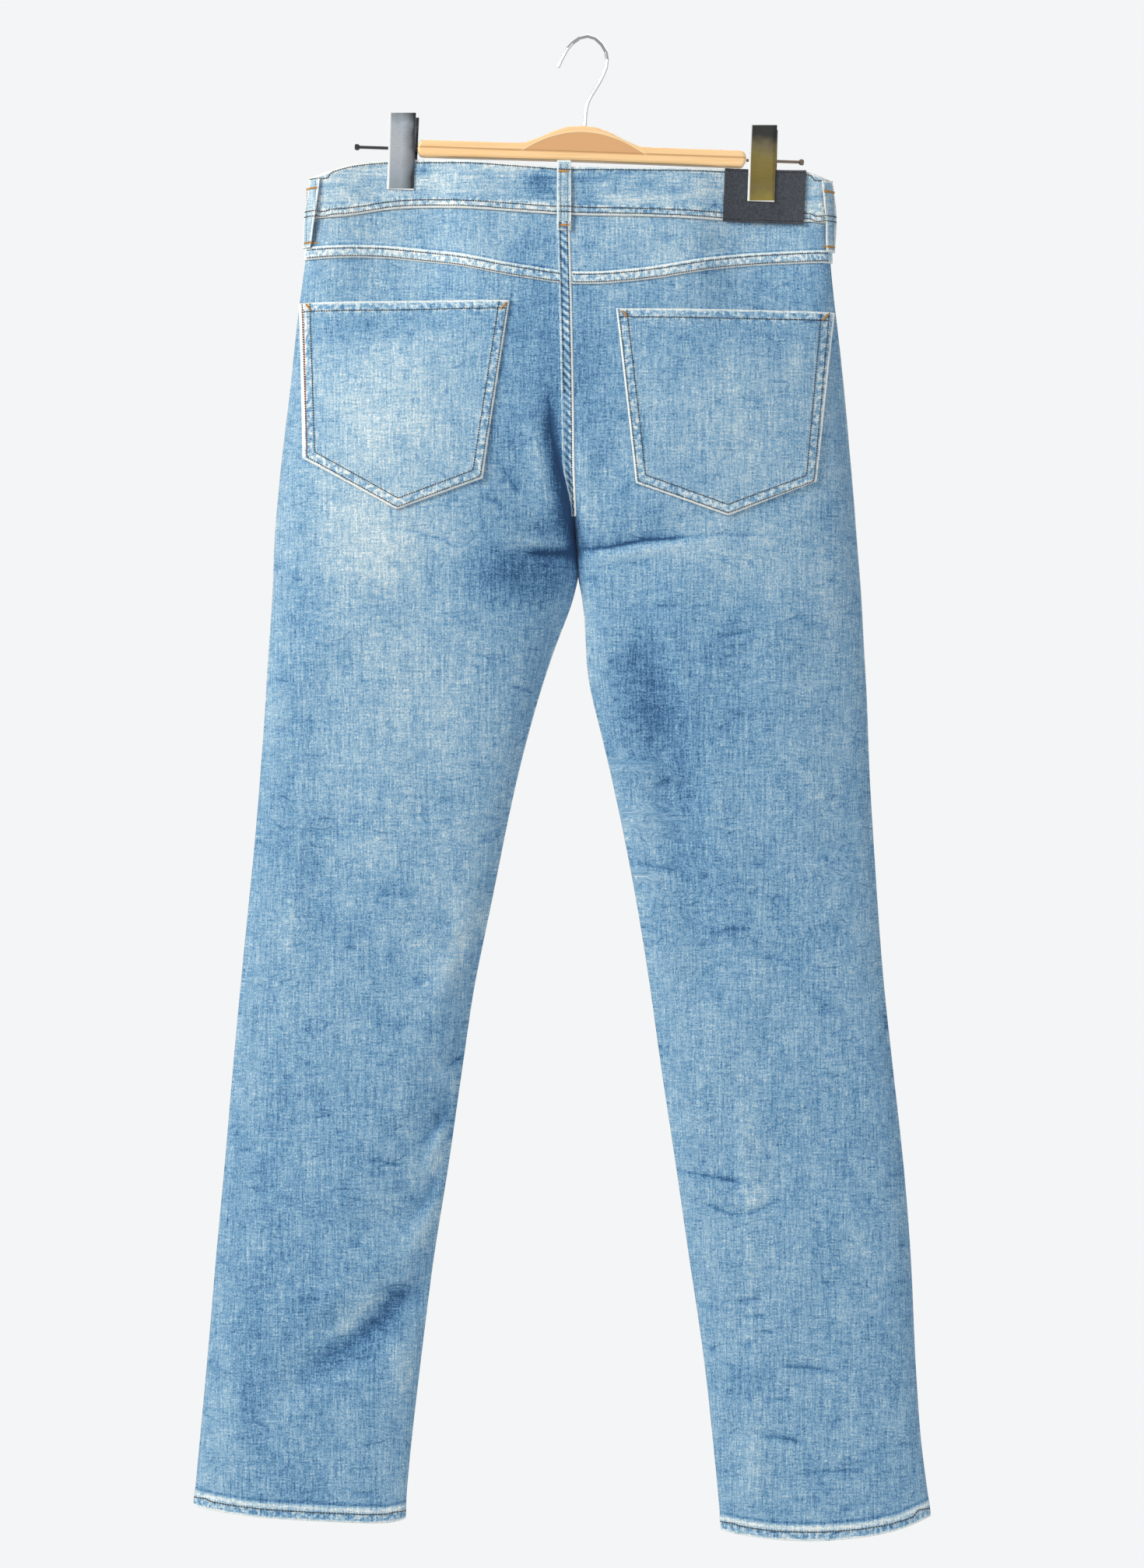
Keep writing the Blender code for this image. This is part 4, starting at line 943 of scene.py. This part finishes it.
def felledSeam(tree):
    bpy.ops.mesh.primitive_grid_add(x_subdivisions=felled["columns"], y_subdivisions=felled["rows"], size=2)
    piece = bpy.context.active_object
    piece.name = piece.data.name = "seam_centre_back"
    mesh = piece.data
    grid = pointsOf(mesh)
    across = grid[:, 0]
    down = (1 - grid[:, 1]) / 2
    drops = felledLine[0][1] + down * (felledLine[-1][1] - felledLine[0][1])
    middle = np.interp(drops, [drop for x, drop in felledLine], [x for x, drop in felledLine])
    # its lower end goes in under the fold on its left
    shown = 1 - 0.6 * ease(340, 384, drops)
    x = middle + (1 - (1 - across) * shown) * felled["width"] / 2
    slant = (drops - 4.5 * across) / felled["rope"] + 0.7 * lattice(x, drops, 40, 19, 5)
    rope = np.sin(2 * math.pi * slant) * (1 - across**4) * (0.8 + 0.2 * lattice(x, drops, 9, 13, 6))
    lift = felled["lift"] * (1 - across**6) - 0.25 + 0.3 * rope + 0.7 * ease(0.1, 0.75, across)
    place = np.zeros_like(grid)
    for i, (px, pd, up) in enumerate(zip(x, drops, lift)):
        hit, normal = onCloth(tree, px, pd, backSheet)
        place[i] = hit + normal * up * mm
    movePoints(mesh, place)
    tone = 0.46 + 0.44 * rope * (abs(across) < 0.7) + 0.42 * (across > 0.7) - 0.08 * (across < -0.8)
    setAttribute(mesh, "tone", tone)
    setAttribute(mesh, "seam", np.full(len(grid), 0.25))
    setAttribute(mesh, "edge", (1 - abs(across)) * felled["width"] / 2)
    setCut(mesh, np.stack([x, -drops], axis=1) * mm)
    mesh.materials.append(legDenim)
    makeActive(piece)
    wall = piece.modifiers.new("wall", "SOLIDIFY")
    wall.thickness = felled["thickness"] * mm
    wall.offset = -1
    bpy.ops.object.modifier_apply(modifier=wall.name)
    piece.data.shade_smooth()
    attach(piece, "root")
    return piece


# ---- sewing

def clothTree():
    points, faces = [], []
    for piece in [piece for piece, rim in dressed.values()] + extras:
        start = len(points)
        points += [vertex.co.copy() for vertex in piece.data.vertices]
        faces += [[start + i for i in face.vertices] for face in piece.data.polygons]
    return BVHTree.FromPolygons(points, faces)


def spread(points, pitch):
    # points at an even pitch along a bent line
    points = np.array(points, float)
    runs = np.linalg.norm(np.diff(points[:, :3], axis=0), axis=1)
    along = np.concatenate([[0], np.cumsum(runs)])
    count = max(int(along[-1] / pitch), 1)
    at = np.linspace(0, along[-1], count + 1)
    return np.stack([np.interp(at, along, points[:, i]) for i in range(points.shape[1])], axis=1)


def onCloth(tree, x, drop, sheet):
    # where a ray from outside meets the cloth, and the cloth's normal there; beside a gap between two panels
    # it takes the nearer one
    for aside in (0, 0.6, -0.6, 1.2, -1.2):
        start = Vector(((x + aside) * mm, sheet * 0.2, -drop * mm))
        hit, normal = tree.ray_cast(start, Vector((0, -sheet, 0)))[:2]
        if hit is not None and hit.y * sheet > -4 * mm:
            return Vector((x * mm, hit.y, hit.z)), normal
    return None, None


def aroundCloth(tree, low, high, dropOf, pitch):
    # (point, normal) pairs round a flat tube of cloth between two x values; dropOf gives the drop at x
    found = []
    for turn in np.linspace(0, 2 * math.pi, 500):
        sheet = backSheet if math.sin(turn) < 0 else frontSheet
        x = (low + high) / 2 + (high - low + 40) / 2 * math.cos(turn)
        start = Vector((x * mm, 0.06 * math.sin(turn), 0))
        target = Vector((min(max(x, low + 14), high - 14) * mm, 0, 0))
        drop = dropOf(min(max(x, low), high), sheet)
        start.z = target.z = -drop * mm
        hit, normal = tree.ray_cast(start, (target - start).normalized())[:2]
        if hit is not None:
            found.append((*hit, *normal))
    return [(Vector(p[:3]), Vector(p[3:]).normalized()) for p in spread(found, pitch * mm)]


def sew(runs, kind):
    # each stitch's middle, direction, normal, length and radius, along runs of (point, normal) pairs
    length, radius = stitchSizes[kind][1:]
    made = []
    for run in runs:
        for a, b in zip(run, run[1:]):
            if a[0] is None or b[0] is None:
                continue
            along = b[0] - a[0]
            if along.length > 8 * mm:
                continue
            made.append(((a[0] + b[0]) / 2, along.normalized(), (a[1] + b[1]).normalized(), length, radius))
    return made


def stitchPiece(name, stitches, material):
    # every stitch is a copy of one small lump of thread, drawn out and laid along its row
    bpy.ops.mesh.primitive_uv_sphere_add(segments=6, ring_count=3, radius=1)
    lump = bpy.context.active_object
    form = pointsOf(lump.data)[:, [2, 0, 1]]
    faces = [list(face.vertices) for face in lump.data.polygons]
    bpy.data.objects.remove(lump)
    points, joined = [], []
    for middle, along, normal, length, radius in stitches:
        across = normal.cross(along).normalized()
        out = along.cross(across)
        axes = np.array([along * length / 2, across * radius, out * radius]) * mm
        start = len(points) * len(form)
        points.append(form @ axes + np.array(middle + normal * radius * 0.5 * mm))
        joined += [[start + i for i in face] for face in faces]
    mesh = bpy.data.meshes.new(name)
    mesh.from_pydata(np.concatenate(points).tolist(), [], joined)
    mesh.materials.append(material)
    mesh.shade_smooth()
    piece = addObject(name, mesh)
    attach(piece, "root")
    print("  ", name, len(stitches), "stitches")
    return piece


def rimCurve(node, sheet, lower, low, high):
    # the drop of a node's upper or lower rim over x, on one sheet
    rim = dressed[node][1] / mm
    rim = rim[rim[:, 1] * sheet > 0]
    xs = np.arange(low, high + 1, 4)
    middle = [rim[abs(rim[:, 0] - x) < 2.6] for x in xs]
    pick = np.min if lower else np.max
    drops = np.array([-pick(near[:, 2]) if len(near) else np.nan for near in middle])
    known = ~np.isnan(drops)
    return lambda x: float(np.interp(x, xs[known], drops[known]))


stitchSizes = {  # mm: the pitch along a row, then a stitch's length and radius
    "seam": (2.0, 1.75, 0.52),
    "hem": (2.2, 2.0, 0.55),
    "loop": (2.0, 1.7, 0.3),
    "tack": (0.55, 2.3, 0.3),
    "red": (2.0, 2.0, 0.32),
    "patch": (2.2, 1.6, 0.3),
}
flyRow = [(-52, 158), (-52, 262), (-47, 288), (-36, 306)]  # (x, drop), and then its foot
flyFoot = (-22, 314)
loopSheets = {"loop_centre_back": backSheet, "loop_side_left": backSheet, "loop_side_right": backSheet,
              "loop_front_left": frontSheet, "loop_front_right": frontSheet}
pocketTacks = [(-224, 218, 0.9), (-67, 219, -0.9), (30, 226, 0.9), (191, 226, -0.9)]  # x, drop, turn
pocketOutlines = {  # (x, drop) from the top outside corner round the tip to the top inside one
    "left": [(-231.4, 215), (-226.4, 340.5), (-151.7, 382.5), (-83.7, 357.4), (-62.1, 214.4)],
    "right": [(196, 222.3), (182.5, 360.5), (111.6, 387.2), (38.2, 361.2), (22.6, 221.6)],
}
patchRows = [  # (x, drop) along the patch's top and bottom
    [(111.2, 107.4), (174.6, 109.4)],
    [(109.4, 146.6), (172.8, 148.5)],
]


def meshLists(obj):
    points = [vertex.co.copy() for vertex in obj.data.vertices]
    return points, [list(face.vertices) for face in obj.data.polygons]


def inset(points, by):
    # a pocket's outline moved inwards by that many mm, its ends kept at the top edge
    middle = np.mean(points, axis=0)
    lines = []
    for a, b in zip(points, points[1:]):
        a, b = np.array(a), np.array(b)
        along = (b - a) / np.linalg.norm(b - a)
        normal = np.array([-along[1], along[0]])
        if normal @ (middle - a) < 0:
            normal = -normal
        lines.append((a + normal * by, along))
    inner = [lines[0][0]]
    for (a, u), (b, v) in zip(lines, lines[1:]):
        s = np.linalg.solve(np.array([u, -v]).T, b - a)[0]
        inner.append(a + u * s)
    inner.append(lines[-1][0] + lines[-1][1] * np.linalg.norm(np.array(points[-1]) - np.array(points[-2])))
    return inner


def sewAll():
    tree = clothTree()
    seamPitch = stitchSizes["seam"][0]

    def row(points, sheet):
        return [onCloth(tree, x, drop, sheet) for x, drop in spread(points, seamPitch)]

    rows, hemRows = [], []
    # waistband: one row under its top edge, two over its seam, all round
    low, high = leftRows[1][2] + 1, rightRows[2][2] - 1
    curves = {(sheet, lower): rimCurve("waistband", sheet, lower, low, high)
              for sheet in (backSheet, frontSheet) for lower in (False, True)}
    for lower, by in ((False, 2.6), (True, -2.4), (True, -6.6)):
        rows.append(aroundCloth(tree, low, high, lambda x, sheet: curves[(sheet, lower)](x) + by, seamPitch))
    # yokes, centre back, fly and front pockets
    for side, low, high in (("left", -226, -22), ("right", -12, 194)):
        edge = rimCurve("yoke_" + side, backSheet, True, low, high)
        for up in (1.9, 8.0):
            rows.append(row([(x, edge(x) - up) for x in np.linspace(low, high, 40)], backSheet))
    for across, seen in ((-2.9, 3), (2.9, 5)):
        rows.append(row([(x + across, drop) for x, drop in felledLine[:seen]], backSheet))
    for across in (0, 5.6):
        foot = (flyFoot[0] + across / 2, flyFoot[1] - across)
        rows.append(row([(x + across, drop) for x, drop in flyRow] + [foot], frontSheet))
    for sign, outer, top in ((1, -232, 140), (-1, 201, 150)):
        for by in (2.4, 8.0):
            bend = [(outer + sign * (90 + by) * math.cos(t), top + (62 + by) * math.sin(t))
                    for t in np.linspace(0.12, 1.5, 14)]
            rows.append(row(bend, frontSheet))
    # back pockets
    for points in pocketOutlines.values():
        for by in (2.0, 8.4):
            rows.append(row(inset(points, by), backSheet))
        first, last = points[0], points[-1]
        rows.append(row([(first[0] + 3 * np.sign(last[0] - first[0]), first[1] + 6.5),
                         (last[0] - 3 * np.sign(last[0] - first[0]), last[1] + 6.5)], backSheet))
    # hems
    for side in ("left", "right"):
        edges = leftRows if side == "left" else rightRows
        low, high = edges[1][-2] + 1, edges[2][-2] - 1
        hems = {sheet: rimCurve(f"leg_{name}_{side}", sheet, True, low, high)
                for sheet, name in ((backSheet, "back"), (frontSheet, "front"))}
        hemRows.append(aroundCloth(tree, low, high, lambda x, sheet: hems[sheet](x) - 7.2,
                                   stitchSizes["hem"][0]))
    brown = sew(rows, "seam") + sew(hemRows, "hem")
    # loops: a row near each side
    loops = []
    for node, sheet in loopSheets.items():
        low, high = (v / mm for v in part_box(node))
        for share in (0.26, 0.74):
            at = low.x + (high.x - low.x) * share
            loops.append(row([(at, -high.z + 3), (at, -low.z - 3)], sheet))
    tan = sew(loops, "loop")
    # bar tacks: close stitches across a short line
    tacks = []
    for x, drop, angle in pocketTacks:
        tacks += bar(tree, x, drop, 3.2, angle, backSheet)
    for node, sheet in loopSheets.items():
        low, high = (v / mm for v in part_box(node))
        for drop in (-high.z + 9, -low.z - 4):
            tacks += bar(tree, (low.x + high.x) / 2, drop, (high.x - low.x) * 0.36, 0.0, sheet)
    red = sew([row([(-228.2, 219), (-224.2, 338)], backSheet)], "red")
    patchTree = BVHTree.FromPolygons(*meshLists(frame["nodes"]["label_patch"]))
    black = [[onCloth(patchTree, x, drop, backSheet) for x, drop in spread(points, stitchSizes["patch"][0])]
             for points in patchRows]
    stitchPiece("patch_stitches", sew(black, "patch"), thread("#15161A"))
    stitchPiece("red_stitches", red, thread("#C4562E"))
    stitchPiece("seam_stitches", brown, thread("#3E2A1C"))
    stitchPiece("loop_stitches", tan, thread("#7A6548"))
    stitchPiece("bar_tacks", tacks, thread("#CB9650"))


def bar(tree, x, drop, half, angle, sheet):
    # the stitches of one bar tack, each across its line
    pitch, length, radius = stitchSizes["tack"]
    made = []
    across = Vector((math.cos(angle), 0, -math.sin(angle)))
    for at in np.arange(-half, half + 0.01, pitch):
        hit, normal = onCloth(tree, x + at * math.cos(angle), drop + at * math.sin(angle), sheet)
        if hit is None:
            continue
        along = normal.cross(across).normalized() + across * 0.25
        made.append((hit + normal * 0.15 * mm, along.normalized(), normal, length, radius))
    return made


def thread(colour):
    # spun polyester: the eye sees a matt thread, a little uneven
    return plain("thread " + colour[1:], colour, 0.75, mottle=0.25, width=1.2)


print("stage: camera, floor and lights")
addCamera()
addLights()
addFloor()

print("stage: cloth")
for node in sorted(frame["nodes"]):
    if node.startswith(tuple(clothKinds)):
        dressCloth(node)

closeCrotch()

print("stage: sewing")
extras.append(felledSeam(clothTree()))
sewAll()

print("stage: leather, metal and wood")
finishes = {
    # grained leather: the eye sees a mottled, matt, dark slate hide
    "label": plain("charcoal grained leather", "#343A43", 0.55, mottle=0.5, width=1.8, bumpDepth=0.12),
    # aged brass: the eye sees a brown disc with a soft shine
    "waist_button": plain("aged brass", "#8E6B3E", 0.35, 1.0, mottle=0.2, width=2),
    "hanger_bar": beech("lacquered beech"),
    # drawn steel: the eye sees a dull dark rod, a browner one, and a bright wire that mirrors the pale room
    "hanger_rail_left": plain("steel rod", "#5A5A5E", 0.3, 1.0),
    "hanger_rail_right": plain("browned steel rod", "#94877A", 0.3, 1.0),
    "hanger": plain("chromed wire", "#C9CACC", 0.14, 1.0),
    # the clips' plates: painted reflections, pale bluish on the left one and of a warm room on the right one, with
    # painted white highlights on their rims
    "clip_left": plate("chromed sheet", "clip_left_plate",
                       ("#C2D0D6", "#D5E2EB", "#E2EAF4", "#EEF6FC", "#EEF6FF", "#E8F4FF", "#ADB6BC"),
                       ((0.1, "#FFFFFF"), (0.5, "#FFFFFF"), (0.68, "#DDDDDD"), (0.86, "#ACACAC"),
                        (0.96, "#666666"))),
    "clip_right": plate("chromed sheet that mirrors a warm room", "clip_right_plate",
                        ("#C0AE60", "#A99A64", "#A79758", "#B29D5C", "#B4A568", "#A29674", "#5A5A57",
                         "#555553"),
                        ((0.0, "#F0F0F0"), (0.5, "#FFFFFF"), (0.85, "#FFFFFF"), (0.97, "#D0D0D0"))),
}
for node, obj in frame["nodes"].items():
    finish = next((start for start in finishes if node.startswith(start)), None)
    if finish:
        obj.data.materials.clear()
        obj.data.materials.append(finishes[finish])
        if node.startswith("clip") or node == "label_patch":
            bevel = obj.modifiers.new("soft edges", "BEVEL")
            bevel.width = 0.9 * mm if node.endswith("plate") else 0.3 * mm
            bevel.segments = 3
